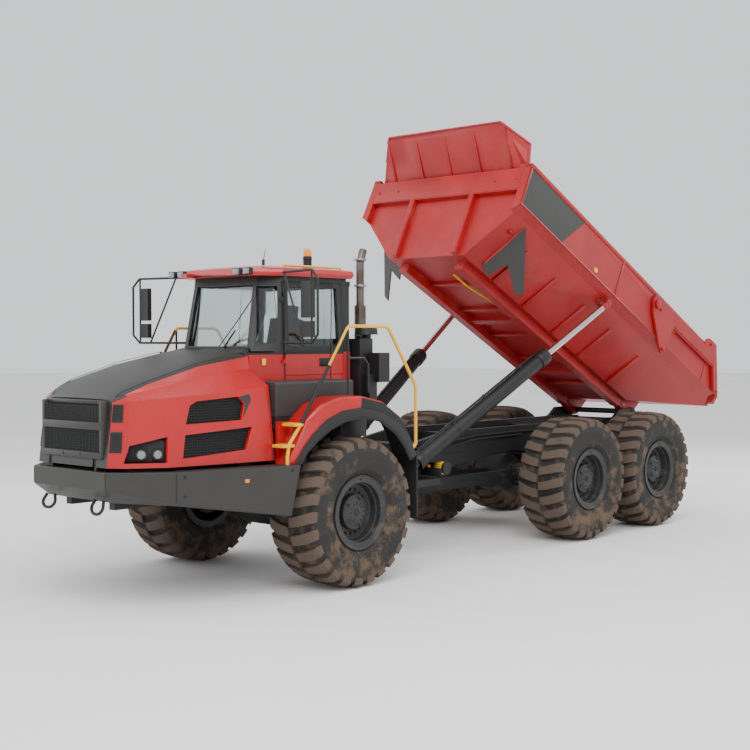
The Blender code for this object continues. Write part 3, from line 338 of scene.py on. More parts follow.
@dataclass(frozen=True)
class Banded(Finish):
    """Bare steel that heat has coloured in slow bands along its height."""

    band_mm: float = 420.0
    warm: str = "5E5148"

    def body_colour(self, tree: bpy.types.NodeTree, place: Any, cloud: Any, grit: Any) -> Any:
        """The steel's grey drifting to a warm brown and back, broken by the slow noise."""
        height = add(tree, "ShaderNodeSeparateXYZ", {0: place}).outputs["Z"]
        swing = add(tree, "ShaderNodeMath", {0: height, 1: 6.283 * 1000 / self.band_mm}, operation="MULTIPLY").outputs[0]
        wander = add(tree, "ShaderNodeMath", {0: cloud, 1: 5.0}, operation="MULTIPLY").outputs[0]
        swing = add(tree, "ShaderNodeMath", {0: swing, 1: wander}, operation="ADD").outputs[0]
        wave = add(tree, "ShaderNodeMath", {0: swing}, operation="SINE").outputs[0]
        share = add(tree, "ShaderNodeMapRange", {"Value": wave, "From Min": -1.0}).outputs[0]
        return add(
            tree, "ShaderNodeMix", {"Factor": share, 6: linear(self.colour), 7: linear(self.warm)}, data_type="RGBA"
        ).outputs[2]


# Two-pack enamel sprayed on steel sheet: a wet, slightly rippled gloss with dust low down.
RED = Finish("sprayed_red_enamel", Slot.RED, "B00A10", 0.30, coat=0.3, shade=0.06, soil=0.05, soil_top=3.2, bump_mm=0.15)
# The same enamel on the dump body, dulled by rock dust and speckled by thrown mud.
BODY_RED = Finish(
    "dusty_red_enamel", Slot.RED, "A20A10", 0.44, coat=0.08, shade=0.10, soil=0.10, soil_top=60.0, specks=0.35, bump_mm=0.3
)
# Satin polyurethane paint on folded plate: soft highlights, a warm dark grey.
GREY = Finish("satin_grey_paint", Slot.GREY, "2C2B29", 0.46, shade=0.08, soil=0.08, soil_top=2.4, bump_mm=0.2)
# Chassis black brushed over cast and rolled steel: near matt, with mud in the corners.
BLACK = Finish("chassis_black_paint", Slot.BLACK, "161617", 0.50, shade=0.14, soil=0.22, soil_top=2.0)
# The same black above the deck, where little mud reaches; on the sheets behind the hood's vents it is painted shade.
CLEAN_BLACK = Finish("deck_black_paint", Slot.BLACK, "151516", 0.42, shade=0.10, soil=0.02, soil_top=3.0)
# Vulcanised natural rubber: dull charcoal, dusted brown.
RUBBER = Finish(
    "tyre_sidewall_rubber", Slot.TYRE, "262523", 0.82, shade=0.10, soil=0.42, soil_top=3.4, patch_mm=210, grit_mm=16, bump_mm=1.2
)
# The tread's lugs, caked with drying mud that has cracked off in patches.
TREAD = Finish(
    "mud_caked_tread_rubber", Slot.TYRE, "2B2723", 0.9, shade=0.16, soil=1.02, soil_top=6.0,
    patch_mm=130, grit_mm=12, bump_mm=3.0, soil_colour="66564A", soil_dark="3E332B",
)
# Wheel paint on pressed steel: dark grey, its dish holding dried splashes.
RIM = Finish("wheel_grey_paint", Slot.RIM, "2B2C2D", 0.48, metallic=0.1, soil=0.30, soil_top=3.0, patch_mm=160)
# Rough sand-cast iron under thin paint.
CAST = Finish("painted_cast_iron", Slot.CAST, "1E2022", 0.62, metallic=0.2, soil=0.40, soil_top=2.2, grit_mm=14, bump_mm=1.0)
# Safety yellow enamel on tube, worn a little by boots and gloves.
YELLOW = Finish("safety_yellow_enamel", Slot.YELLOW, "E8B005", 0.38, coat=0.2, shade=0.08, soil=0.10, soil_top=2.6)
# Glass-filled nylon and ABS mouldings: even, slightly grey black.
PLASTIC = Finish("moulded_black_nylon", Slot.PLASTIC, "131415", 0.55, shade=0.10, soil=0.03, soil_top=3.0, bump_mm=0.25)
# Extruded rubber for seals, hoses, wipers and the fender lips.
SEAL = Finish("extruded_black_rubber", Slot.PLASTIC, "1B1B1B", 0.68, shade=0.10, soil=0.10, soil_top=2.6)
# Hard chrome ground on a rod: a bright mirror with a trace of oil.
CHROME = Finish("hard_chrome", Slot.CHROME, "C9CBCC", 0.12, metallic=1.0, shade=0.03, soil=0.0, bump_mm=0.02)
# Zinc-plated fasteners and fittings: pale, slightly blue metal.
ZINC = Finish("zinc_plated_steel", Slot.CHROME, "9A9C9E", 0.38, metallic=0.9, soil=0.10, soil_top=2.6)
# Aluminised exhaust tube browned by heat.
EXHAUST = Banded("heat_stained_steel", Slot.EXHAUST, "6E6A67", 0.42, metallic=0.85, soil=0.0)
# Flat woven upholstery over foam.
CLOTH = Woven("woven_seat_cloth", Slot.SEAT, "2C2D30", 0.95, soil=0.0, bump_mm=0.6)
# Laminated and toughened float glass, a little green at the edge.
GLASS = Glazed("float_glass", Slot.GLASS, "DCE6E4", 0.01, soil=0.0)
# Silvered mirror glass.
SILVER = Finish("silvered_glass", Slot.CHROME, "C2C8CC", 0.04, metallic=1.0, shade=0.02, soil=0.0, bump_mm=0.01)
# Moulded lens of a headlamp.
LENS = Glazed("polycarbonate_lens", Slot.GLASS, "E6E9EC", 0.05, ior=1.58, clear=0.75, glow=0.02, soil=0.0)
# Amber acrylic of the beacon and the markers.
AMBER = Glazed("amber_acrylic", Slot.GLASS, "F08A10", 0.12, ior=1.49, clear=0.25, glow=0.35, soil=0.0)
# Blank printed vinyl.
WHITE_VINYL = Finish("white_vinyl", Slot.RED, "DAD7CF", 0.5, shade=0.05, soil=0.02, soil_top=3.0)
YELLOW_VINYL = Finish("yellow_vinyl", Slot.YELLOW, "E5C23A", 0.5, shade=0.05, soil=0.02, soil_top=3.0)


# ---------------------------------------------------------------------- forms
class Form:
    """A mesh in the making, in world metres, gathered from operator-made shapes."""

    def __init__(self) -> None:
        """Start empty, painting with material slot 0."""
        self.bm = bmesh.new()
        self.slot = 0

    def paint(self, slot: int) -> Form:
        """Give later shapes that material slot."""
        self.slot = slot
        return self

    def _own(self) -> None:
        """Paint the faces made since the last shape; until mesh(), 0 means unpainted."""
        for face in self.bm.faces:
            if face.material_index == 0:
                face.material_index = self.slot + 1

    def _bevel(self, verts: Iterable[bmesh.types.BMVert], width: float, segments: int = 2) -> None:
        """Round every edge between these vertices.

        Args:
            verts: The shape's vertices.
            width: The bevel's offset.
            segments: Steps across it.
        """
        chosen = set(verts)
        edges = [e for e in self.bm.edges if e.verts[0] in chosen and e.verts[1] in chosen]
        bmesh.ops.bevel(
            self.bm, geom=edges, offset=width, segments=segments, profile=0.5, affect="EDGES", material=-1,
            clamp_overlap=True,
        )

    def box(self, low: Point, high: Point, bevel: float = 0.004, turn: Matrix | None = None) -> Form:
        """Add a box with rounded edges.

        Args:
            low: Lowest corner.
            high: Highest corner.
            bevel: Width of the rounding, 0 for none.
            turn: A further transform about the world origin.

        Returns:
            This form.
        """
        a, b = Vector(low), Vector(high)
        place = Matrix.Translation((a + b) / 2) @ Matrix.Diagonal((*(b - a), 1.0))
        made = bmesh.ops.create_cube(self.bm, size=1.0, matrix=(turn or Matrix()) @ place)["verts"]
        if bevel:
            self._bevel(made, bevel)
        self._own()
        return self

    def bar(self, start: Point, end: Point, radius: float, top: float | None = None, sides: int = 24, bevel: float = 0.0) -> Form:
        """Add a round bar or a cone between two points.

        Args:
            start: Centre of one end.
            end: Centre of the other.
            radius: Radius at start.
            top: Radius at end, the same if left out.
            sides: Facets round it.
            bevel: Rounding of its end edges.

        Returns:
            This form.
        """
        a, b = Vector(start), Vector(end)
        turn = Vector((0, 0, 1)).rotation_difference(b - a).to_matrix().to_4x4()
        made = bmesh.ops.create_cone(
            self.bm, cap_ends=True, segments=sides, radius1=radius, radius2=radius if top is None else top,
            depth=(b - a).length, matrix=Matrix.Translation((a + b) / 2) @ turn,
        )["verts"]
        if bevel:
            chosen = set(made)
            rims = [
                e
                for e in self.bm.edges
                if e.verts[0] in chosen and e.verts[1] in chosen and any(len(f.verts) > 4 for f in e.link_faces)
            ]
            bmesh.ops.bevel(
                self.bm, geom=rims, offset=bevel, segments=2, profile=0.5, affect="EDGES", material=-1, clamp_overlap=True
            )
        self._own()
        return self

    def slab(self, outline: Sequence[Point], axis: str, low: float, high: float, bevel: float = 0.004) -> Form:
        """Add a flat outline with a thickness along an axis.

        Args:
            outline: Points (y, z) for axis X, (x, z) for Y and (x, y) for Z.
            axis: X, Y or Z.
            low: Where the thickness starts.
            high: Where it ends.
            bevel: Width of the rounding, 0 for none.

        Returns:
            This form.
        """
        put: dict[str, Callable[[float, float], Vector]] = {
            "X": lambda u, v: Vector((low, u, v)),
            "Y": lambda u, v: Vector((u, low, v)),
            "Z": lambda u, v: Vector((u, v, low)),
        }
        verts = [self.bm.verts.new(put[axis](u, v)) for u, v in outline]
        face = bmesh.ops.contextual_create(self.bm, geom=verts)["faces"][0]
        made = bmesh.ops.extrude_face_region(self.bm, geom=[face])["geom"]
        moved = [g for g in made if isinstance(g, bmesh.types.BMVert)]
        along = Vector([(high - low) * (axis == name) for name in "XYZ"])
        bmesh.ops.translate(self.bm, vec=along, verts=moved)
        self.right_way_out({*verts, *moved})
        if bevel:
            self._bevel([*verts, *moved], bevel)
        self._own()
        return self

    def patch(self, points: Sequence[Point], depth: Point) -> Form:
        """Add a thin plate through points in space.

        Args:
            points: Its outline.
            depth: The vector from its front to its back.

        Returns:
            This form.
        """
        verts = [self.bm.verts.new(point) for point in points]
        face = bmesh.ops.contextual_create(self.bm, geom=verts)["faces"][0]
        made = bmesh.ops.extrude_face_region(self.bm, geom=[face])["geom"]
        moved = [g for g in made if isinstance(g, bmesh.types.BMVert)]
        bmesh.ops.translate(self.bm, vec=depth, verts=moved)
        self.right_way_out({*verts, *moved})
        self._own()
        return self

    def right_way_out(self, verts: Iterable[bmesh.types.BMVert]) -> None:
        """Point the faces between these vertices outwards."""
        chosen = set(verts)
        faces = [f for f in self.bm.faces if all(v in chosen for v in f.verts)]
        bmesh.ops.recalc_face_normals(self.bm, faces=faces)

    def spin(self, profile: Sequence[Point], centre: Point, sign: float = 1.0, steps: int = 72, axis: str = "X") -> Form:
        """Add a profile turned about an axis through centre.

        Args:
            profile: Points (along the axis, radius), closed on itself or on the axis.
            centre: A point on the axis.
            sign: -1 turns the profile's direction round.
            steps: Facets round the axis.
            axis: X, Y or Z.

        Returns:
            This form.
        """
        middle = Vector(centre)
        frame = {"X": (Vector((1, 0, 0)), Vector((0, 0, 1))), "Y": (Vector((0, 1, 0)), Vector((0, 0, 1))), "Z": (Vector((0, 0, 1)), Vector((1, 0, 0)))}
        along, out = frame[axis]
        verts = [self.bm.verts.new(middle + along * x * sign + out * r) for x, r in profile]
        ends = [verts[-1], verts[0]] if profile[0][1] > 1e-6 or profile[-1][1] > 1e-6 else []
        edges = [self.bm.edges.new(pair) for pair in zip(verts, verts[1:])]
        if ends:
            edges.append(self.bm.edges.new(ends))
        before = set(self.bm.verts) - set(verts)
        bmesh.ops.spin(
            self.bm, geom=[*verts, *edges], cent=middle, axis=along, angle=2 * math.pi, steps=steps, use_merge=True
        )
        made = [v for v in self.bm.verts if v not in before]
        bmesh.ops.remove_doubles(self.bm, verts=made, dist=0.00005)
        made = [v for v in self.bm.verts if v not in before]
        self.right_way_out(made)
        self._own()
        return self

    def tube(self, points: Sequence[Point], radius: float, sides: int = 2, smooth: float = 0.0) -> Form:
        """Add a round tube along points.

        Args:
            points: The tube's centreline.
            radius: Its radius.
            sides: The curve's bevel resolution.
            smooth: Radius of the rounded corners, 0 for mitred ones.

        Returns:
            This form.
        """
        curve = bpy.data.curves.new("run", "CURVE")
        curve.dimensions = "3D"
        curve.bevel_depth = radius
        curve.bevel_resolution = sides
        curve.use_fill_caps = True
        path = self.rounded([Vector(p) for p in points], smooth) if smooth else [Vector(p) for p in points]
        spline = curve.splines.new("POLY")
        spline.points.add(len(path) - 1)
        for place, at in zip(spline.points, path):
            place.co = (*at, 1.0)
        carrier = bpy.data.objects.new("run", curve)
        bpy.context.scene.collection.objects.link(carrier)
        mesh = bpy.data.meshes.new_from_object(carrier.evaluated_get(bpy.context.evaluated_depsgraph_get()))
        before = set(self.bm.verts)
        self.bm.from_mesh(mesh)
        made = [v for v in self.bm.verts if v not in before]
        bmesh.ops.remove_doubles(self.bm, verts=made, dist=0.00005)
        bpy.data.objects.remove(carrier)
        bpy.data.meshes.remove(mesh)
        self._own()
        return self

    @staticmethod
    def rounded(points: list[Vector], radius: float) -> list[Vector]:
        """Replace each inner corner with a short arc.

        Args:
            points: The straight runs' ends.
            radius: Distance from a corner at which its arc starts.

        Returns:
            The longer list of points.
        """
        path = [points[0]]
        for before, corner, after in zip(points, points[1:], points[2:]):
            reach = min(radius, (before - corner).length * 0.45, (after - corner).length * 0.45)
            a = corner + (before - corner).normalized() * reach
            b = corner + (after - corner).normalized() * reach
            path += [a * (1 - t) ** 2 + corner * 2 * t * (1 - t) + b * t**2 for t in (0.0, 0.25, 0.5, 0.75, 1.0)]
        return [*path, points[-1]]

    def bolts(self, centre: Point, axis: Point, circle: float, count: int, radius: float = 0.012, height: float = 0.014, start: float = 0.0) -> Form:
        """Add a ring of hexagon heads.

        Args:
            centre: The bolt circle's centre, on the face that the heads sit on.
            axis: The face's outward normal.
            circle: The circle's radius.
            count: How many heads.
            radius: A head's radius over its corners.
            height: How far a head stands out.
            start: Angle of the first, in radians.

        Returns:
            This form.
        """
        out = Vector(axis).normalized()
        turn = Vector((0, 0, 1)).rotation_difference(out).to_matrix()
        for i in range(count):
            angle = start + 2 * math.pi * i / count
            at = Vector(centre) + turn @ Vector((circle * math.cos(angle), circle * math.sin(angle), 0.0))
            self.bar(at - out * 0.004, at + out * height, radius, sides=6)
        return self

    def choose(self, rule: Callable[[bmesh.types.BMFace], int]) -> Form:
        """Paint every face with the slot that a rule gives it."""
        self.bm.normal_update()
        for face in self.bm.faces:
            face.material_index = rule(face) + 1
        return self

    def copy(self, mesh: bpy.types.Mesh, dissolve: float = 1.0) -> Form:
        """Add a CAD node's mesh, merged and with its flat faces made whole.

        Args:
            mesh: The node's mesh.
            dissolve: Faces that meet at less than this, in degrees, become one.

        Returns:
            This form.
        """
        self.bm.from_mesh(mesh)
        bmesh.ops.remove_doubles(self.bm, verts=self.bm.verts, dist=0.00003)
        bmesh.ops.dissolve_limit(
            self.bm, angle_limit=math.radians(dissolve), verts=self.bm.verts, edges=self.bm.edges
        )
        self._own()
        return self

    def change(self, matrix: Matrix) -> Form:
        """Transform all that is in the form."""
        self.bm.transform(matrix)
        if matrix.to_3x3().determinant() < 0:
            bmesh.ops.reverse_faces(self.bm, faces=self.bm.faces)
        return self

    def mirror(self) -> Form:
        """Add the mirror image of all that is in the form, across X = 0."""
        made = bmesh.ops.duplicate(self.bm, geom=[*self.bm.verts, *self.bm.edges, *self.bm.faces])["geom"]
        verts = [g for g in made if isinstance(g, bmesh.types.BMVert)]
        faces = [g for g in made if isinstance(g, bmesh.types.BMFace)]
        bmesh.ops.scale(self.bm, vec=(-1, 1, 1), verts=verts)
        bmesh.ops.reverse_faces(self.bm, faces=faces)
        return self

    def mesh(self, name: str) -> bpy.types.Mesh:
        """Close the form into a mesh datablock of that name."""
        for face in self.bm.faces:
            face.material_index = max(0, face.material_index - 1)
        made = bpy.data.meshes.new(name)
        self.bm.to_mesh(made)
        self.bm.free()
        return made


class Machine:
    """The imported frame, with the places that the looks are measured from."""

    def __init__(self) -> None:
        """Load the frame and read its joints."""
        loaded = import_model()
        self.nodes: dict[str, bpy.types.Object] = loaded["nodes"]
        self.joints = {joint["name"]: joint for joint in loaded["joints"]}
        groups = loaded["record"]["behaviour"]["bodies"]
        self.body_of = {node: body for body, members in groups.items() for node in members}
        self.cad_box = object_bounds()
        self.axle = self.pivot("front_left_wheel_spin").y
        hinge = self.pivot("body_tip")
        tilt = math.radians(self.joints["body_tip"]["range_deg"][0])
        self.raise_body = (
            Matrix.Translation(hinge) @ Matrix.Rotation(tilt, 4, "X") @ Matrix.Translation(-hinge)
        )
        self.made: list[str] = []
        self.replaced: set[str] = set()

    def pivot(self, joint: str) -> Vector:
        """A hinge's point, in world metres."""
        return Vector(self.joints[joint]["pos_m"])

    def axis(self, joint: str) -> Vector:
        """A joint's unit axis."""
        return Vector(self.joints[joint]["axis"]).normalized()

    def stations(self) -> Matrix:
        """The move from station coordinates to the world."""
        return Matrix.Translation((0.0, self.axle, 0.0))

    def place(
        self,
        form: Form,
        name: str,
        body: str,
        finishes: Sequence[Finish],
        replaces: Sequence[str] = (),
        move: Matrix | None = None,
        bevel: float = 0.0,
        sharp: float = 34.0,
    ) -> bpy.types.Object:
        """Turn a form into a finished piece that rides on a body.

        Args:
            form: The piece's shapes.
            name: The piece's name.
            body: The CAD body that it rides on.
            finishes: One finish for each material slot.
            replaces: The CAD nodes that it stands for.
            move: A last transform of the whole form, such as stations().
            bevel: Width of a Bevel modifier, 0 for none.
            sharp: Edges that turn more than this, in degrees, stay crisp.

        Returns:
            The piece.
        """
        if move is not None:
            form.change(move)
        mesh = form.mesh(name)
        for finish in finishes:
            mesh.materials.append(finish.material())
        mesh.shade_smooth()
        mesh.set_sharp_from_angle(angle=math.radians(sharp))
        piece = bpy.data.objects.new(name, mesh)
        bpy.context.scene.collection.objects.link(piece)
        if bevel:
            rounding = piece.modifiers.new("rounding", "BEVEL")
            rounding.width = bevel
            rounding.segments = 2
            rounding.limit_method = "ANGLE"
            rounding.angle_limit = math.radians(25)
            rounding.harden_normals = True
        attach(piece, body)
        if replaces:
            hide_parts(*replaces)
            self.replaced.update(replaces)
        self.made.append(name)
        LOG.info("%s: %d faces on %s", name, len(mesh.polygons), body)
        return piece

    def soften(
        self,
        node: str,
        finishes: Finish | Sequence[Finish],
        bevel: float = 0.006,
        rule: Callable[[Vector, Vector], int] | None = None,
        cuts: Sequence[tuple[Point, Point]] = (),
    ) -> bpy.types.Object:
        """Stand a copy of a CAD node with rounded edges in its place.

        Args:
            node: The node.
            finishes: Its finish, or one for each slot that the rule gives.
            bevel: Width of the rounding.
            rule: Gives a face's slot from its middle, in station coordinates, and its normal.
            cuts: Planes, each a point in station coordinates and a normal, that split its faces.

        Returns:
            The piece.
        """
        form = Form().copy(self.nodes[node].data, 0.4 if cuts or rule else 1.0)
        for point, normal in cuts:
            geometry = [*form.bm.verts, *form.bm.edges, *form.bm.faces]
            bmesh.ops.bisect_plane(form.bm, geom=geometry, plane_co=self.stations() @ Vector(point), plane_no=normal)
        if rule is not None:
            back = self.stations().inverted()
            form.choose(lambda face: rule(back @ face.calc_center_median(), face.normal))
        looks = [finishes] if isinstance(finishes, Finish) else list(finishes)
        return self.place(form, f"{node}_skin", self.body_of[node], looks, [node], bevel=bevel)

    def dress(self, node: str, finish: Finish) -> None:
        """Give a CAD node that stays a finish in place of its own."""
        data = self.nodes[node].data
        data.materials.clear()
        data.materials.append(finish.material())
        LOG.info("%s: dressed in %s", node, finish.name)


# --------------------------------------------------------------------- wheels
@dataclass
class Wheels:
    """Six low-pressure tyres with deep chevron lugs on dished steel rims."""

    machine: Machine
    radius: float = 0.895
    half: float = 0.367
    lug_depth: float = 0.048
    lug_count: int = 25
    lug_width: float = 0.140
    sweep: float = 0.10

    def build(self) -> None:
        """Build a tyre and a rim at each wheel joint."""
        for axle in ("front", "middle", "rear"):
            for side in Side:
                joint = f"{axle}_{side.word}_wheel_spin"
                centre = self.machine.pivot(joint)
                body = f"wheel_{axle}_{side.word}"
                spot = Matrix.Translation(centre) @ Matrix.Diagonal((side.value, 1.0, 1.0, 1.0))
                self.machine.place(
                    self.tyre(), f"tyre_{axle}_{side.word}_made", body, [RUBBER, TREAD],
                    [f"tyre_{axle}_{side.word}"], spot, sharp=38,
                )
                self.machine.place(
                    self.rim(), f"rim_{axle}_{side.word}_made", body, [RIM, CAST],
                    [f"rim_{axle}_{side.word}"], spot, sharp=30,
                )

    def crown(self, x: float) -> float:
        """The tread's outer radius at a distance from the tyre's middle."""
        share = abs(x) / self.half
        return self.radius - 0.028 * share**2 - 0.030 * max(0.0, share - 0.82) / 0.18

    def tyre(self) -> Form:
        """The carcass with its sidewall rings, and the lugs wrapped round it."""
        floor = self.radius - self.lug_depth
        wall = [
            (0.298, 0.362),
            (0.298, 0.452),
            (0.318, 0.470),
            (0.336, 0.505),
            (0.346, 0.512),
            (0.350, 0.530),
            (0.346, 0.540),
            (0.360, 0.600),
            (0.366, 0.655),
            (0.3665, 0.700),
            (0.362, 0.750),
            (0.352, 0.795),
            (0.330, floor - 0.026),
            (0.250, floor - 0.010),
            (0.120, floor),
        ]
        form = Form().spin(wall + [(-x, r) for x, r in reversed(wall)], (0, 0, 0), steps=96)
        form.paint(1)
        pitch = 2 * math.pi / self.lug_count
        flat = self.flat_lug()
        for i in range(self.lug_count):
            self.lug(form, flat, i * pitch, 1)
            self.lug(form, flat, (i + 0.5) * pitch, -1)
        bpy.data.meshes.remove(flat)
        return form

    def flat_lug(self) -> bpy.types.Mesh:
        """One lug laid flat: X from the crown to the shoulder, Y across it, Z from 0 at its foot to 1."""
        length = self.half - 0.024
        form = Form()
        place = Matrix.Translation((0.018 + length / 2, 0, 0.5)) @ Matrix.Diagonal((length, self.lug_width, 1.0, 1.0))
        bmesh.ops.create_cube(form.bm, size=1.0, matrix=place)
        along = [e for e in form.bm.edges if abs(e.verts[0].co.x - e.verts[1].co.x) > length / 2]
        bmesh.ops.subdivide_edges(form.bm, edges=along, cuts=4, use_grid_fill=True)
        crest = [
            e
            for e in form.bm.edges
            if all(v.co.z > 0.99 for v in e.verts) and any(abs(f.normal.z) < 0.5 for f in e.link_faces)
        ]
        form.bm.normal_update()
        bmesh.ops.bevel(
            form.bm, geom=crest, offset=0.010, segments=1, profile=0.5, affect="EDGES", material=-1, clamp_overlap=True
        )
        return form.mesh("flat_lug")

    def lug(self, form: Form, flat: bpy.types.Mesh, angle: float, hand: int) -> None:
        """Wrap one lug onto the carcass, swept back from the crown to the shoulder.

        Args:
            form: The tyre.
            flat: The flat lug.
            angle: Where it stands, in radians.
            hand: The side of the tread that it runs to.
        """
        count = len(form.bm.verts)
        form.bm.from_mesh(flat)
        form.bm.verts.ensure_lookup_table()
        made = form.bm.verts[count:]
        for vert in made:
            x, y, z = vert.co
            share = min(1.0, x / self.half)
            foot = self.radius - self.lug_depth - 0.030 - 0.055 * max(0.0, share - 0.80) / 0.20
            radius = foot + (self.crown(x) - foot) * z
            swept = angle + y * (0.80 + 0.20 * share) / self.radius + self.sweep * share**1.5
            vert.co = Vector((hand * x, -radius * math.sin(swept), -radius * math.cos(swept)))
        form.right_way_out(made)
        form._own()

    def rim(self) -> Form:
        """The dished rim, its flanges, the planetary hub and their fasteners."""
        profile = [
            (0.256, 0.0),
            (0.256, 0.085),
            (0.262, 0.092),
            (0.262, 0.128),
            (0.256, 0.136),
            (0.250, 0.150),
            (0.228, 0.176),
            (0.222, 0.205),
            (0.150, 0.214),
            (0.146, 0.226),
            (0.150, 0.300),
            (0.162, 0.330),
            (0.240, 0.342),
            (0.246, 0.352),
            (0.306, 0.356),
            (0.312, 0.370),
            (0.318, 0.424),
            (0.325, 0.432),
            (0.325, 0.440),
            (0.300, 0.440),
            (0.299, 0.362),
            (-0.299, 0.362),
            (-0.300, 0.440),
            (-0.325, 0.440),
            (-0.325, 0.360),
            (0.060, 0.320),
            (0.100, 0.225),
            (0.100, 0.104),
            (0.200, 0.104),
            (0.200, 0.0),
        ]
        form = Form().spin(profile, (0, 0, 0), steps=96)
        form.bolts((0.147, 0, 0), (1, 0, 0), 0.262, 20, 0.016, 0.022)
        form.paint(1).bolts((0.261, 0, 0), (1, 0, 0), 0.110, 12, 0.010, 0.009)
        form.bar((0.250, 0, 0), (0.268, 0, 0), 0.045, 0.038, 24, 0.004)
        form.bar((0.300, 0.0, 0.386), (0.332, 0.0, 0.392), 0.009, 0.007, 10)
        for spoke in range(5):
            angle = 2 * math.pi * spoke / 5 + 0.3
            low = Vector((0.256, 0.146 * math.sin(angle), 0.146 * math.cos(angle)))
            form.bar(low, low + Vector((-0.028, 0.034 * math.sin(angle), 0.034 * math.cos(angle))), 0.012, sides=8)
        return form


# ------------------------------------------------------------------ dump body
@dataclass
class DumpBody:
    """The tipping body: rust-dusted red plate with ribs, rails, guards and a tailgate."""

    machine: Machine
    side_out: float = 1.490
    floor_half: float = 0.700
    floor_low: float = 1.785
    chine: tuple[float, float] = (1.376, 2.443)
    wall_front: float = 2.580

    def build(self) -> None:
        """Soften the plates and add what is welded and bolted to them."""
        machine = self.machine
        for node in ("body_floor", "body_side_left", "body_side_right", "body_front_wall", "tailgate"):
            machine.soften(node, BODY_RED, 0.007)
        for side in Side:
            machine.soften(f"stone_guard_{side.word}", GREY, 0.004)
            self.side_trim(side)
        self.front_trim()
        self.floor_trim()
        self.gate_trim()

    def put(self, form: Form, name: str, finishes: Sequence[Finish], body: str = "dump_body") -> None:
        """Place a form that was made with the body lowered, in station coordinates."""
        move = self.machine.raise_body @ self.machine.stations()
        self.machine.place(form, name, body, finishes, move=move)

    def chine_x(self, z: float) -> float:
        """The sloped lower side's outer X at a height."""
        x, top = self.chine
        return self.floor_half + (z - self.floor_low) * (x - self.floor_half) / (top - self.floor_low)

    def side_trim(self, side: Side) -> None:
        """The top rail, the fold along the side's foot, the dark front panel and the blank decals."""
        s = side.value
        out = self.side_out
        rail = Form()
        rail.box((s * (out - 0.115) if s > 0 else -out - 0.012, 2.50, 3.108), (s * (out + 0.012) if s > 0 else -out + 0.115, 8.32, 3.176), 0.010)
        fold = [(s * (out - 0.002), 2.502, 2.530), (s * (out - 0.002), 8.690, 2.530)]
        rail.tube(fold, 0.016)
        for y in (2.515, 5.20, 8.20):
            rail.box((min(s * out, s * (out + 0.010)), y, 2.535), (max(s * out, s * (out + 0.010)), y + 0.035, 3.110), 0.003)
        rail.bar((s * 1.335, 2.95, 2.408), (s * 0.80, 2.95, 1.866), 0.022, sides=16)
        for y in (2.78, 3.10):
            rail.box((s * 1.20 - 0.03, y, 2.240), (s * 1.20 + 0.03, y + 0.05, 2.300), 0.006)
        self.put(rail, f"body_rail_{side.word}", [BODY_RED])
        panel = Form()
        face = (s * (out + 0.0005), s * (out + 0.0025))
        panel.slab([(2.556, 2.545), (3.62, 2.545), (4.02, 3.105), (2.556, 3.105)], "X", face[0], face[1], 0)
        self.put(panel, f"body_dark_panel_{side.word}", [GREY])
        marks = Form()
        marks.slab([(7.02, 2.86), (7.10, 2.86), (7.10, 2.94), (7.02, 2.94)], "X", face[0], face[1], 0)
        marks.slab([(4.55, 2.60), (4.63, 2.60), (4.63, 2.66), (4.55, 2.66)], "X", face[0], face[1], 0)
        self.put(marks, f"body_marks_{side.word}", [YELLOW_VINYL])
        hinge = Form().paint(0)
        y, z = self.gate_pivot()
        hinge.bar((s * (out + 0.050), y, z), (s * (out + 0.088), y, z), 0.072, sides=32, bevel=0.006)
        hinge.bar((s * (out + 0.050), y + 0.135, z - 0.025), (s * (out + 0.068), y + 0.135, z - 0.025), 0.022, sides=20)
        self.put(hinge, f"gate_hinge_{side.word}", [BODY_RED], "tailgate")
        pin = Form().bar((s * 1.290, 5.168, 2.376), (s * 1.372, 5.168, 2.376), 0.040, sides=24, bevel=0.005)
        pin.bolts((s * 1.352, 5.168, 2.376), (s, 0, 0), 0.062, 6, 0.009, 0.010)
        self.put(pin, f"hoist_boss_{side.word}", [ZINC])

    def gate_pivot(self) -> tuple[float, float]:
        """The tailgate arm's pin with the body lowered, as a station and a height."""
        back = (self.machine.raise_body).inverted() @ self.machine.pivot("tailgate_swing")
        return back.y - self.machine.axle, back.z

    def front_trim(self) -> None:
        """The wall's cross beam, upright ribs, gussets and the guard's rolled edge."""
        form = Form()
        top, wall = 3.118, self.wall_front
        form.slab([(wall + 0.004, 2.735), (wall - 0.088, 2.765), (wall - 0.088, 3.085), (wall + 0.004, top)], "X", -1.362, 1.362, 0.008)
        for x in (-0.56, 0.56):
            form.slab(
                [(wall + 0.004, 1.800), (wall - 0.088, 1.880), (wall - 0.088, 2.770), (wall + 0.004, 2.770)],
                "X", x - 0.044, x + 0.044, 0.006,
            )
        for x in (-1.10, -0.545, 0.0, 0.545, 1.10):
            form.slab([(2.594, 3.11), (2.150, 3.56), (2.110, 3.612), (2.146, 3.628), (2.612, 3.20)], "X", x - 0.016, x + 0.016, 0.003)
        form.tube([(-1.362, 2.474, 3.490), (-1.050, 2.076, 3.631), (1.050, 2.076, 3.631), (1.362, 2.474, 3.490)], 0.015)
        for x in (-1.30, -0.92, 0.92, 1.30):
            form.bar((x, wall - 0.098, 2.93), (x, wall - 0.080, 2.93), 0.020, sides=6)
        self.put(form, "front_wall_ribs", [BODY_RED])

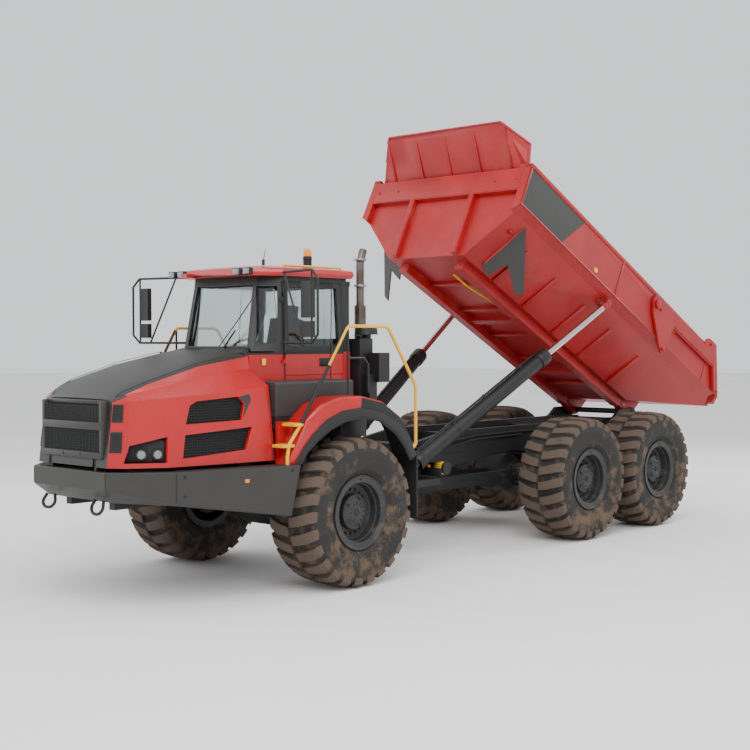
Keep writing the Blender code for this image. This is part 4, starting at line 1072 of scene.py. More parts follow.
    def floor_trim(self) -> None:
        """Cross ribs under the floor, the hinge's brackets and a hose along one beam."""
        form = Form()
        for y in (3.30, 4.10, 4.95, 5.75, 6.70):
            form.box((-0.449, y, 1.735), (0.449, y + 0.060, 1.787), 0.006)
            for s in (1, -1):
                z = 2.02
                rib = Matrix.Translation((s * self.chine_x(z), y + 0.03, z)) @ Matrix.Rotation(-s * math.radians(45.8), 4, "Y")
                form.box((-0.33, -0.025, -0.030), (0.33, 0.025, 0.003), 0.005, rib)
        for s in (1, -1):
            form.slab([(7.42, 1.745), (7.62, 1.668), (7.70, 1.655), (7.80, 1.700), (7.86, 1.95), (7.50, 1.80)], "X", s * 0.525 - 0.085, s * 0.525 + 0.085, 0.008)
        self.put(form, "floor_ribs", [BODY_RED])
        holes = Form()
        for s in (1, -1):
            holes.bar((s * 0.612, 7.750, 1.720), (s * 0.604, 7.750, 1.720), 0.040, sides=24)
            for y, z in ((7.52, 1.74), (7.64, 1.70)):
                holes.bar((s * 0.611, y, z), (s * 0.607, y, z), 0.018, sides=16)
        self.put(holes, "hinge_pins", [ZINC])
        hose = Form().tube(
            [(0.20, 3.05, 1.752), (0.26, 3.35, 1.715), (0.36, 3.70, 1.712), (0.40, 4.05, 1.735), (0.40, 4.36, 1.752)],
            0.017, smooth=0.2,
        )
        self.put(hose, "body_hose", [YELLOW])

    def gate_trim(self) -> None:
        """Ribs and edge rolls on the tailgate, and the small pins of its arms."""
        form = Form()
        lean = math.atan2(8.735 - 8.318, 3.260 - 2.515)
        for x in (-1.10, -0.37, 0.37, 1.10):
            turn = Matrix.Translation((x, 8.612, 2.888)) @ Matrix.Rotation(lean, 4, "X")
            form.box((-0.04, -0.010, -0.37), (0.04, 0.030, 0.37), 0.006, turn)
        form.tube([(-1.52, 8.360, 3.262), (1.52, 8.360, 3.262)], 0.020)
        form.tube([(-1.52, 8.775, 2.518), (1.52, 8.775, 2.518)], 0.018)
        for s in (1, -1):
            form.bar((s * 1.538, 6.77, 2.405), (s * 1.572, 6.77, 2.405), 0.026, sides=20, bevel=0.003)
            form.bar((s * 1.538, 8.70, 2.560), (s * 1.566, 8.70, 2.560), 0.022, sides=20, bevel=0.003)
            form.bar((s * 1.538, 8.18, 3.200), (s * 1.566, 8.18, 3.200), 0.022, sides=20, bevel=0.003)
            form.tube([(s * 1.545, 6.98, 2.90), (s * 1.545, 8.38, 2.915), (s * 1.545, 8.62, 2.53)], 0.010)
        self.put(form, "tailgate_ribs", [BODY_RED], "tailgate")


# ------------------------------------------------------- chassis and cylinders
@dataclass
class Chassis:
    """Both frames, the hitch, the axles and the four cylinders."""

    machine: Machine

    def build(self) -> None:
        """Soften the castings and add hub flanges, hoses, valves, hatches, fasteners and the cylinders."""
        machine = self.machine
        for node in ("front_frame", "rear_frame"):
            machine.soften(node, BLACK, 0.006)
        for node in ("hitch_yoke", "bogie_beams", "front_axle", "middle_axle", "rear_axle", "engine_gearbox"):
            machine.soften(node, CAST, 0.008)
        self.driveline()
        self.rear_fittings()
        self.front_fittings()
        for side in Side:
            self.hoist(side)
            self.steering(side)

    def driveline(self) -> None:
        """Hub flanges and brake housings on the axles, with a cone at each axle's middle."""
        machine = self.machine
        for name, station, body in (("front", 0.0, "tractor"), ("middle", 4.893, "rear_chassis"), ("rear", 6.844, "rear_chassis")):
            form = Form()
            for s in (1, -1):
                form.bar((s * 1.075, station, 0.895), (s * 1.105, station, 0.895), 0.252, sides=48, bevel=0.006)
                form.bolts((s * 1.105, station, 0.895), (s, 0, 0), 0.236, 16, 0.012, 0.014)
                form.bar((s * 0.335, station, 0.895), (s * 0.362, station, 0.895), 0.195, sides=40, bevel=0.005)
                form.bolts((s * 0.362, station, 0.895), (s, 0, 0), 0.180, 12, 0.011, 0.013)
                form.bar((s * 0.74, station - 0.20, 0.98), (s * 0.74, station - 0.10, 0.98), 0.055, sides=24, bevel=0.006)
                form.tube([(s * 0.74, station - 0.20, 0.98), (s * 0.62, station - 0.26, 1.02), (s * 0.40, station - 0.24, 1.04)], 0.011, smooth=0.08)
            form.bar((0, station - 0.30, 0.895), (0, station - 0.18, 0.895), 0.10, 0.15, 32, 0.008)
            machine.place(form, f"{name}_axle_housings", body, [CAST], move=machine.stations())

    def rear_fittings(self) -> None:
        """Valve blocks, hoses, a tank and cover plates on the rear frame."""
        machine = self.machine
        form = Form()
        for s in (1, -1):
            form.box((min(s * 0.558, s * 0.585), 2.62, 1.345), (max(s * 0.558, s * 0.585), 3.35, 1.470), 0.006)
            for y in (2.70, 2.95, 3.25, 4.2, 4.6, 5.3, 6.6, 7.0):
                form.bar((s * 0.558, y, 1.50), (s * 0.572, y, 1.50), 0.018, sides=6)
            form.box((min(s * 0.50, s * 0.90), 2.435, 1.062), (max(s * 0.50, s * 0.90), 2.460, 1.180), 0.004)
            form.tube([(s * 0.58, 2.20, 1.46), (s * 0.66, 2.46, 1.42), (s * 0.60, 2.95, 1.50), (s * 0.585, 3.60, 1.55), (s * 0.585, 5.20, 1.56)], 0.019, smooth=0.12)
            form.tube([(s * 0.58, 2.20, 1.40), (s * 0.68, 2.50, 1.37), (s * 0.62, 3.00, 1.43), (s * 0.590, 3.60, 1.50), (s * 0.590, 4.70, 1.51)], 0.015, smooth=0.12)
        machine.place(form, "rear_frame_hoses", "rear_chassis", [SEAL], move=machine.stations())
        caps = Form()
        for s in (1, -1):
            caps.spin([(0.741, 0.0), (0.741, 0.060), (0.748, 0.087), (0.880, 0.088), (0.898, 0.080), (0.908, 0.050), (0.918, 0.046), (0.920, 0.0)], (0, 2.55, 1.175), s, 40)
        machine.place(caps, "hitch_accumulators", "rear_chassis", [YELLOW], move=machine.stations())
        lamp = Form()
        for s in (1, -1):
            lamp.box((s * 0.640 - 0.02, 2.490, 1.14), (s * 0.640 + 0.02, 2.502, 1.21), 0.004)
        machine.place(lamp, "side_markers", "rear_chassis", [AMBER], move=machine.stations())

    def front_fittings(self) -> None:
        """Hoses and boxes under the deck, seen through the wheel arch."""
        machine = self.machine
        form = Form()
        for s in (1, -1):
            form.tube([(s * 0.48, -0.58, 1.62), (s * 0.62, -0.20, 1.66), (s * 0.60, 0.35, 1.52), (s * 0.50, 0.88, 1.45)], 0.022, smooth=0.2)
            form.tube([(s * 0.50, -0.58, 1.72), (s * 0.66, -0.15, 1.76), (s * 0.64, 0.40, 1.60), (s * 0.52, 0.90, 1.48)], 0.018, smooth=0.2)
            form.box((min(s * 0.66, s * 1.02), 0.36, 1.72), (max(s * 0.66, s * 1.02), 0.84, 1.995), 0.02)
            form.bar((s * 0.72, -0.30, 1.90), (s * 1.05, -0.30, 1.90), 0.085, sides=32, bevel=0.01)
        machine.place(form, "under_deck_fittings", "tractor", [CLEAN_BLACK], move=machine.stations())
        grip = Form()
        for i in range(9):
            y = 0.93 + 0.033 * i
            grip.box((-0.76, y, 2.0502), (0.76, y + 0.012, 2.056), 0)
        for i in range(13):
            y = 0.33 + 0.046 * i
            for s in (1, -1):
                grip.box((min(s * 0.90, s * 1.28), y, 2.0502), (max(s * 0.90, s * 1.28), y + 0.014, 2.056), 0)
        machine.place(grip, "deck_tread_bars", "tractor", [CLEAN_BLACK], move=machine.stations())

    def hoist(self, side: Side) -> None:
        """A tipping cylinder: barrel with end collars and a feed pipe, and a chromed rod with its eye."""
        machine = self.machine
        word, s = side.word, side.value
        base = machine.pivot(f"hoist_swing_{word}")
        along = machine.axis(f"hoist_stroke_{word}")
        turn = machine.axis(f"hoist_swing_{word}")
        barrel = Form()
        at = lambda d: base + along * d
        barrel.bar(at(0.20), at(3.02), 0.104, sides=48)
        for start, end, radius in ((0.195, 0.32, 0.118), (1.00, 1.05, 0.112), (2.82, 3.00, 0.118), (3.00, 3.02, 0.100)):
            barrel.bar(at(start), at(end), radius, sides=48, bevel=0.006)
        barrel.bar(at(0.05), at(0.24), 0.055, 0.075, 32)
        barrel.bar(base - turn * 0.05, base + turn * 0.05, 0.092, sides=40, bevel=0.008)
        barrel.bolts(at(3.02), along, 0.080, 10, 0.010, 0.004)
        up = along.cross(turn).normalized()
        up = up if up.z > 0 else -up
        lift = up * 0.126
        barrel.tube([at(0.28) + up * 0.10, at(0.34) + lift, at(2.78) + lift, at(2.86) + up * 0.10], 0.016, smooth=0.05)
        for d in (0.9, 1.7, 2.5):
            barrel.box((-0.020, -0.022, -0.10), (0.020, 0.022, 0.02), 0.004, Matrix.Translation(at(d) + lift) @ up.to_track_quat("Z", "X").to_matrix().to_4x4())
        machine.place(barrel, f"hoist_barrel_{word}_made", f"hoist_barrel_{word}", [CLEAN_BLACK], [f"hoist_barrel_{word}"])
        low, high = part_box(f"hoist_rod_{word}")
        tip = Vector((s * 1.440, 0, 0))
        length = (tip.x - base.x) / along.x
        eye = at(length)
        rod = Form()
        rod.bar(at(1.31), at(length - 0.060), 0.0495, sides=48)
        rod.paint(1)
        rod.bar(at(length - 0.140), at(length - 0.050), 0.056, sides=40, bevel=0.006)
        rod.bar(eye - Vector((0.034, 0, 0)), eye + Vector((0.034, 0, 0)), 0.060, sides=40, bevel=0.006)
        rod.bar(eye - Vector((s * 0.068, 0, 0)), eye + Vector((s * 0.040, 0, 0)), 0.034, sides=32, bevel=0.004)
        machine.place(rod, f"hoist_rod_{word}_made", f"hoist_rod_{word}", [CHROME, BODY_RED], [f"hoist_rod_{word}"])
        LOG.info("hoist rod %s spans %.2f m", word, (high - low).length)

    def steering(self, side: Side) -> None:
        """A steering cylinder beside the hitch, with its ports and gland."""
        machine = self.machine
        word = side.word
        base = machine.pivot(f"steer_swing_{word}")
        along = machine.axis(f"steer_stroke_{word}")
        at = lambda d: base + along * d
        barrel = Form()
        barrel.bar(at(0.075), at(0.900), 0.046, sides=36)
        for start, end in ((0.075, 0.13), (0.84, 0.90)):
            barrel.bar(at(start), at(end), 0.052, sides=36, bevel=0.003)
        barrel.bar(at(0.030), at(0.10), 0.030, sides=20)
        barrel.bar(base - Vector((0, 0, 0.045)), base + Vector((0, 0, 0.045)), 0.050, sides=32, bevel=0.004)
        barrel.bar(at(0.11), at(0.11) + Vector((0, 0, 0.070)), 0.014, sides=12)
        barrel.bar(at(0.86), at(0.86) + Vector((0, 0, 0.070)), 0.014, sides=12)
        machine.place(barrel, f"steer_barrel_{word}_made", f"steer_barrel_{word}", [CLEAN_BLACK], [f"steer_barrel_{word}"])
        low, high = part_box(f"steer_rod_{word}")
        reach = high.y - 0.050 - base.y
        length = reach / along.y
        eye = at(length)
        rod = Form()
        rod.bar(at(0.485), at(length - 0.045), 0.0255, sides=32)
        rod.paint(1)
        rod.bar(at(length - 0.10), at(length - 0.040), 0.034, sides=24, bevel=0.003)
        rod.bar(eye - Vector((0, 0, 0.034)), eye + Vector((0, 0, 0.034)), 0.050, sides=32, bevel=0.004)
        rod.bar(eye, eye + Vector((0, 0, 0.048)), 0.025, sides=20, bevel=0.003)
        machine.place(rod, f"steer_rod_{word}_made", f"steer_rod_{word}", [CHROME, CAST], [f"steer_rod_{word}"])
        LOG.info("steering rod %s starts at %.2f m", word, low.y)


# ------------------------------------------------------------ hood and bumper
@dataclass
class Nose:
    """The one-piece hood with its meshes and lamps, and the bumper under it."""

    machine: Machine
    crease: tuple[tuple[float, float], ...] = (
        (-2.775, 0.632),
        (-2.640, 0.720),
        (-2.380, 0.790),
        (-1.700, 0.830),
        (-1.000, 0.852),
    )

    def build(self) -> None:
        """Build the hood skin, what fills its openings, the grille and the bumper."""
        self.skin()
        self.openings()
        self.grille()
        self.lamps()
        self.bumper()

    def crease_x(self, y: float) -> float:
        """Half the width of the hood's grey top at a station."""
        for (y0, x0), (y1, x1) in zip(self.crease, self.crease[1:]):
            if y <= y1:
                share = max(0.0, (y - y0) / (y1 - y0))
                return x0 + (x1 - x0) * share
        return self.crease[-1][1]

    def skin(self) -> None:
        """The folded sheet: grey between the creases, red outside them, cut for vents and lamps."""
        machine = self.machine
        form = Form().copy(machine.nodes["hood"].data, 0.4)

        def slot(face: bmesh.types.BMFace) -> int:
            """Grey for the top between the creases and for the nose, red for the rest."""
            middle = face.calc_center_median()
            station = middle.y - machine.axle
            top = face.normal.z > 0.35 and abs(middle.x) < self.crease_x(station) - 0.012 and middle.z > 2.2
            nose = abs(middle.x) < 0.66 and station < -2.70
            return int(top or nose)

        form.choose(slot)
        hood = machine.place(form, "hood_skin", "hood", [RED, GREY], ["hood"], bevel=0.006)
        cutter = Form()
        for s in (1, -1):
            low, high = (1.03, 1.45) if s > 0 else (-1.45, -1.03)
            for outline in self.vents():
                cutter.slab(outline, "X", low, high, 0)
            cutter.slab([(-2.740, 1.612), (-2.690, 1.800), (-2.352, 1.892), (-2.366, 1.612)], "X", min(s * 0.66, s * 1.4), max(s * 0.66, s * 1.4), 0)
        tool = bpy.data.objects.new("vent_cutter", cutter.change(machine.stations()).mesh("vent_cutter"))
        bpy.context.scene.collection.objects.link(tool)
        cut = hood.modifiers.new("vents", "BOOLEAN")
        cut.operation, cut.object, cut.solver = "DIFFERENCE", tool, "EXACT"
        hood.modifiers.move(len(hood.modifiers) - 1, 0)
        bpy.context.view_layer.update()
        graph = bpy.context.evaluated_depsgraph_get()
        rounding = hood.modifiers["rounding"]
        rounding.show_viewport = False
        graph.update()
        cut_mesh = bpy.data.meshes.new_from_object(hood.evaluated_get(graph))
        rounding.show_viewport = True
        hood.modifiers.remove(cut)
        hood.data = cut_mesh
        cut_mesh.shade_smooth()
        cut_mesh.set_sharp_from_angle(angle=math.radians(30))
        bpy.data.objects.remove(tool)
        LOG.info("hood cut for its vents: %d faces", len(cut_mesh.polygons))

    @staticmethod
    def vents() -> list[list[Point]]:
        """The two side vents' outlines, as stations and heights."""
        return [
            [(-2.128, 2.014), (-2.066, 2.215), (-1.980, 2.262), (-1.442, 2.300), (-1.361, 2.216), (-1.420, 2.037)],
            [(-2.183, 1.645), (-2.141, 1.900), (-1.284, 1.954), (-1.392, 1.702)],
        ]

    @staticmethod
    def side_x(y: float, z: float) -> float:
        """The hood side's outer X at a station and a height."""
        rings = [(-2.760, 0.690, 0.660), (-2.380, 1.068, 1.035), (-1.700, 1.200, 1.135), (-1.250, 1.270, 1.175), (-1.000, 1.295, 1.190)]
        for (y0, low0, high0), (y1, low1, high1) in zip(rings, rings[1:]):
            if y <= y1 or y1 == rings[-1][0]:
                t = (y - y0) / (y1 - y0)
                low, high = low0 + (low1 - low0) * t, high0 + (high1 - high0) * t
                return low + (high - low) * (z - 1.56) / 0.79
        return rings[-1][1]

    def openings(self) -> None:
        """Wire mesh behind the vents, black sheets behind the mesh as painted shade of the hood's inside, and a dark
        band over the hood's side.
        """
        machine = self.machine
        mesh = Form()
        for s in (1, -1):
            for y0, y1, z0, z1 in ((-2.15, -1.34, 1.99, 2.32), (-2.21, -1.26, 1.62, 1.98)):
                at = lambda y, z, lift=-0.040: (s * (self.side_x(y, z) + lift), y, z)
                mesh.bar(at(y0, (z0 + z1) / 2, -0.12), at(y1, (z0 + z1) / 2, -0.12), 0.002, sides=4)
                for i in range(int((y1 - y0) / 0.030) + 1):
                    y = y0 + 0.030 * i
                    mesh.bar(at(y, z0), at(y, z1), 0.0058, sides=5)
                for i in range(int((z1 - z0) / 0.030) + 1):
                    z = z0 + 0.030 * i
                    for a, b in ((y0, -1.75), (-1.75, y1)):
                        mesh.bar(at(a, z, -0.036), at(b, z, -0.036), 0.0058, sides=5)
        machine.place(mesh, "hood_side_meshes", "hood", [PLASTIC], move=machine.stations())
        # Black sheets behind the vent meshes: painted shade of the hollow inside the hood.
        back = Form()
        for s in (1, -1):
            for y0, y1, z0, z1 in ((-2.14, -1.35, 2.00, 2.32), (-2.20, -1.27, 1.63, 1.97)):
                corners = [(y0, z0), (y1, z0), (y1, z1), (y0, z1)]
                for lift in (-0.085,):
                    verts = [back.bm.verts.new((s * (self.side_x(y, z) + lift), y, z)) for y, z in corners]
                    face = bmesh.ops.contextual_create(back.bm, geom=verts)["faces"][0]
                    made = bmesh.ops.extrude_face_region(back.bm, geom=[face])["geom"]
                    moved = [g for g in made if isinstance(g, bmesh.types.BMVert)]
                    bmesh.ops.translate(back.bm, vec=(-s * 0.02, 0, 0), verts=moved)
                    back.right_way_out({*verts, *moved})
            back._own()
        machine.place(back, "hood_side_backs", "hood", [CLEAN_BLACK], move=machine.stations())
        seam, band = Form(), Form()
        for s in (1, -1):
            skin = lambda y, z: (s * (self.side_x(y, z) + 0.001), y, z)
            dark = [(-1.430, 2.296), (-1.006, 2.385), (-1.006, 2.045), (-1.405, 2.040), (-1.350, 2.216)]
            band.patch([(s * (self.side_x(y, z) + 0.002), y, z) for y, z in dark], (-s * 0.006, 0, 0))
            for z0, z1 in ((2.050, 2.245), (1.725, 1.950)):
                frame = [(0.04, z0), (0.68, z0), (0.68, z1), (0.04, z1)]
                band.patch([self.corner(s, share, z, 0.0015) for share, z in frame], (-s * 0.004, 0.004, 0))
            seam.tube([skin(-1.02, 1.58), skin(-1.02, 2.36)], 0.006)
            crease = [(-2.700, 2.322), (-2.640, 2.375), (-2.380, 2.478), (-1.700, 2.668), (-1.250, 2.752), (-1.005, 2.792)]
            seam.tube([(s * (self.crease_x(y) - 0.085), y, z + 0.0005) for y, z in crease], 0.004)
        machine.place(seam, "hood_seams", "hood", [SEAL], move=machine.stations())
        machine.place(band, "hood_dark_panels", "hood", [GREY], move=machine.stations())

    def grille(self) -> None:
        """The front: a grey surround, two meshes, a plain centre band and the corner meshes."""
        machine = self.machine
        frame = Form()
        for z0, z1 in ((2.234, 2.285), (1.962, 2.048), (1.650, 1.722)):
            frame.box((-0.56, -2.868 + 0.055 * (z1 > 2.2), z0), (0.56, -2.78, z1), 0.010)
        for s in (1, -1):
            frame.box((min(s * 0.520, s * 0.575), -2.862, 1.66), (max(s * 0.520, s * 0.575), -2.78, 2.27), 0.010)
            frame.bar((s * 0.16, -2.866, 1.690), (s * 0.16, -2.874, 1.690), 0.020, sides=20)
        machine.place(frame, "grille_surround", "hood", [GREY], move=machine.stations())
        mesh = Form()
        for z0, z1 in ((2.050, 2.232), (1.724, 1.960)):
            for i in range(int(1.04 / 0.028) + 1):
                x = -0.519 + 0.028 * i
                mesh.bar((x, -2.852, z0), (x, -2.852, z1), 0.0055, sides=5)
            for i in range(int((z1 - z0) / 0.028) + 1):
                z = z0 + 0.028 * i
                mesh.bar((-0.52, -2.848, z), (0.52, -2.848, z), 0.0055, sides=5)
        for s in (1, -1):
            for z0, z1 in ((2.060, 2.235), (1.735, 1.940)):
                for i in range(6):
                    share = 0.08 + 0.11 * i
                    mesh.bar(self.corner(s, share, z0, 0.004), self.corner(s, share, z1, 0.004), 0.0050, sides=5)
                for i in range(int((z1 - z0) / 0.028) + 1):
                    z = z0 + 0.028 * i
                    mesh.bar(self.corner(s, 0.08, z, 0.002), self.corner(s, 0.63, z, 0.002), 0.0050, sides=5)
        machine.place(mesh, "grille_mesh", "hood", [PLASTIC], move=machine.stations())

    @staticmethod
    def corner(s: int, share: float, z: float, lift: float = 0.0) -> Vector:
        """A place on the facet between the grille and the side.

        Args:
            s: The sign of X.
            share: 0 at the grille's edge, 1 at the side's.
            z: The height.
            lift: How far outside the sheet.

        Returns:
            The place, in station coordinates.
        """
        inner, outer = (2.22 - z) / 0.66, (2.28 - z) / 0.72
        near = Vector((0.640 + 0.010 * inner, -2.770 - 0.085 * inner, z))
        far = Vector((0.800 + 0.030 * outer, -2.665 - 0.055 * outer, z))
        at = near.lerp(far, share) + Vector((0.55, -0.835, 0.0)) * lift
        return Vector((s * at.x, at.y, at.z))

    def lamps(self) -> None:
        """Headlamp pods in the corner recesses: housing, rings and lenses."""
        machine = self.machine
        pod, lens = Form(), Form()
        for s in (1, -1):
            shell = [(0.70, -2.705), (1.000, -2.345), (0.90, -2.30), (0.62, -2.62)]
            pod.slab([(s * x, y) for x, y in shell], "Z", 1.612, 1.86, 0.012)
            normal = Vector((s * 0.768, -0.640, 0)).normalized()
            for x, y, radius in ((0.905, -2.592, 0.048), (1.010, -2.452, 0.046)):
                at = Vector((s * x, y, 1.700)) - normal * 0.045
                pod.bar(at - normal * 0.06, at + normal * 0.012, radius + 0.014, sides=32, bevel=0.004)
                lens.bar(at + normal * 0.010, at + normal * 0.022, radius, radius * 0.86, 32, 0.003)
        machine.place(pod, "headlamp_pods", "hood", [PLASTIC], move=machine.stations())
        machine.place(lens, "headlamp_lenses", "hood", [LENS], move=machine.stations())

    def bumper(self) -> None:
        """The bumper's skin with seams, hatch outlines, bolts, markers and tow loops."""
        machine = self.machine
        machine.soften("bumper", GREY, 0.010)
        trim = Form()
        for s in (1, -1):
            corners = [(0.681, -2.905), (1.209, -2.358), (1.597, -0.873)]
            (ax, ay), (bx, by), (cx, cy) = corners
            for x, y, low in ((ax, ay + 0.005, 1.325), (bx, by, 1.200)):
                trim.tube([(s * (x + 0.001), y, low), (s * (x + 0.001), y, 1.500)], 0.005)
            slope = Vector((cx - bx, cy - by, 0)).normalized()
            out = Vector((slope.y, -slope.x, 0)) * (1 if slope.y > 0 else -1)
            spot = Vector((bx, by, 0)) + slope * 1.12 + out * 0.001
            edge = [spot + slope * a + Vector((0, 0, z)) for a, z in ((-0.10, 1.30), (0.10, 1.30), (0.10, 1.45), (-0.10, 1.45), (-0.10, 1.30))]
            trim.tube([(s * p.x, p.y, p.z) for p in edge], 0.004)
            for a in (0.10, 1.42):
                p = Vector((bx, by, 0)) + slope * a + out * 0.002
                for z in (1.25, 1.46):
                    trim.bar((s * p.x, p.y, z), (s * (p.x + out.x * 0.010), p.y + out.y * 0.010, z), 0.016, sides=6)
            loop = [(0.54, -2.82, 1.20), (0.58, -2.860, 1.11), (0.52, -2.872, 1.055), (0.40, -2.866, 1.055), (0.34, -2.845, 1.12), (0.39, -2.82, 1.20)]
            trim.tube([(s * x, y, z) for x, y, z in loop], 0.018, smooth=0.05)
        machine.place(trim, "bumper_trim", "tractor", [SEAL], move=machine.stations())
        markers = Form()
        for s in (1, -1):
            p = Vector((1.209, -2.358, 0)).lerp(Vector((1.597, -0.873, 0)), 0.56)
            markers.box((s * p.x - 0.012, p.y - 0.045, 1.355), (s * p.x + 0.012, p.y + 0.045, 1.395), 0.005)
        machine.place(markers, "bumper_markers", "tractor", [AMBER], move=machine.stations())


# ------------------------------------------------------------------------ cab
@dataclass
class Cab:
    """The cab: shell, door, glass, roof, mirrors and the operator's place."""

    machine: Machine

    def build(self) -> None:
        """Build the shell's looks, then what is fixed to it and inside it."""
        self.shells()
        self.seals()
        self.roof_trim()
        self.mirrors()
        self.inside()

    def shells(self) -> None:
        """Soften the shell, the door and the roof; black above the sill, red below and behind."""
        machine = self.machine
        sill, post = ((0, 0, 2.760), (0, 0, 1)), ((0, 0.410, 0), (0, 1, 0))
        machine.soften("cab_shell", [RED, CLEAN_BLACK], 0.006, self.shell_slot, [sill, post])
        machine.soften("cab_door", [RED, CLEAN_BLACK], 0.006, self.shell_slot, [sill])
        machine.soften("cab_roof", [RED, PLASTIC], 0.012, lambda at, out: int(at.z > 3.845))
        machine.dress("cab_glazing", GLASS)

    @staticmethod
    def shell_slot(at: Vector, out: Vector) -> int:
        """Red below the sill and on the rear post's outside, black on pillars and inside.

        Args:
            at: A face's middle.
            out: Its normal.

        Returns:
            The material slot.
        """
        post = at.y > 0.410 and abs(at.x) > 0.80 and out.x * at.x > 0
        inner = abs(at.x) < 0.835 and abs(out.x) > 0.5
        return 0 if (at.z < 2.762 or post) and not inner else 1

    def seals(self) -> None:
        """Rubber round the glass, door seams, hinges, the handle's recess and the wipers."""
        machine = self.machine
        rubber = Form()
        for s in (1, -1):
            frame = [(s * 0.862, -0.440, 2.790), (s * 0.862, 0.350, 2.790), (s * 0.838, 0.392, 3.640), (s * 0.838, -0.392, 3.640), (s * 0.862, -0.440, 2.790)]
            rubber.tube(frame, 0.007)
        rubber.tube([(0.596, -0.700, 3.437), (0.40, -0.775, 3.16), (0.10, -0.805, 2.86)], 0.007)
        rubber.tube([(0.10, -0.770, 2.80), (0.36, -0.775, 3.05)], 0.010)
        machine.place(rubber, "window_seals", "tractor", [SEAL], move=machine.stations())
        door = Form()
        edge = [(0.864, -0.430, 2.150), (0.864, 0.350, 2.150), (0.864, 0.350, 2.780)]
        door.tube(edge, 0.005)
        door.tube([(0.864, -0.430, 2.150), (0.864, -0.430, 2.780)], 0.005)
        door.box((0.852, 0.150, 2.606), (0.8635, 0.345, 2.712), 0.006)
        machine.place(door, "door_seams", "cab_door", [SEAL], move=machine.stations())
        grip = Form().paint(0)
        grip.tube([(0.866, 0.175, 2.640), (0.884, 0.185, 2.640), (0.884, 0.310, 2.640), (0.866, 0.320, 2.640)], 0.009)
        for z in (2.30, 2.68):
            grip.bar((0.872, -0.434, z), (0.872, -0.434, z + 0.09), 0.012, sides=16)
        machine.place(grip, "door_handle", "cab_door", [PLASTIC], move=machine.stations())
        blank = Form()
        blank.box((0.8615, -0.800, 2.640), (0.8640, -0.740, 2.715), 0)
        machine.place(blank, "cab_blank_sticker", "tractor", [YELLOW_VINYL], move=machine.stations())

    def roof_trim(self) -> None:
        """Roof rails, work lamps, the beacon on its post and the antenna."""
        machine = self.machine
        tube = Form()
        for s in (1, -1):
            tube.tube([(s * 0.80, 0.60, 3.79), (s * 0.80, 0.58, 3.832), (s * 0.80, -0.40, 3.832), (s * 0.80, -0.44, 3.79)], 0.013, smooth=0.04)
        machine.place(tube, "roof_rails", "tractor", [YELLOW], move=machine.stations())
        dark = Form()
        dark.bar((0.30, 0.50, 3.83), (0.30, 0.50, 3.99), 0.016, sides=16)
        dark.bar((0.30, 0.50, 3.955), (0.30, 0.50, 3.985), 0.058, sides=28, bevel=0.004)
        for x in (-0.70, -0.52, 0.52, 0.70):
            dark.box((x - 0.065, -0.90, 3.705), (x + 0.065, -0.84, 3.790), 0.012)
        dark.bar((0.62, -0.55, 3.83), (0.62, -0.55, 3.90), 0.018, sides=16)
        dark.bar((0.62, -0.55, 3.88), (0.60, -0.50, 4.03), 0.006, 0.003, 8)
        machine.place(dark, "roof_fittings", "tractor", [PLASTIC], move=machine.stations())
        lens = Form()
        for x in (-0.70, -0.52, 0.52, 0.70):
            lens.box((x - 0.052, -0.906, 3.716), (x + 0.052, -0.898, 3.780), 0.003)
        machine.place(lens, "work_lamp_lenses", "tractor", [LENS], move=machine.stations())
        glow = Form().spin([(0.0, 0.0), (0.0, 0.050), (0.030, 0.052), (0.090, 0.046), (0.115, 0.030), (0.120, 0.0)], (0.30, 0.50, 3.984), 1, 32, "Z")
        machine.place(glow, "beacon_lens", "tractor", [AMBER], move=machine.stations())

    def mirrors(self) -> None:
        """Mirror heads with silvered faces behind rounded shells."""
        machine = self.machine
        for side in Side:
            s = side.value
            machine.soften(f"mirror_{side.word}", PLASTIC, 0.010)
            glass = Form()
            for z0, z1 in ((3.205, 3.595), (2.978, 3.138)):
                glass.box((min(s * 1.440, s * 1.590), -0.652, z0), (max(s * 1.440, s * 1.590), -0.648, z1), 0.001)
            machine.place(glass, f"mirror_glass_{side.word}", "tractor", [SILVER], move=machine.stations())

    def inside(self) -> None:
        """The padded seat, the dashboard and its dials."""
        machine = self.machine
        machine.soften("dashboard", PLASTIC, 0.010)
        machine.soften("driver_seat", CLOTH, 0.020)
        dials = Form()
        for x in (-0.12, 0.0, 0.12):
            dials.bar((x, -0.46, 2.86), (x, -0.452, 2.866), 0.040, sides=28)
        machine.place(dials, "dashboard_dials", "tractor", [GLASS], move=machine.stations())


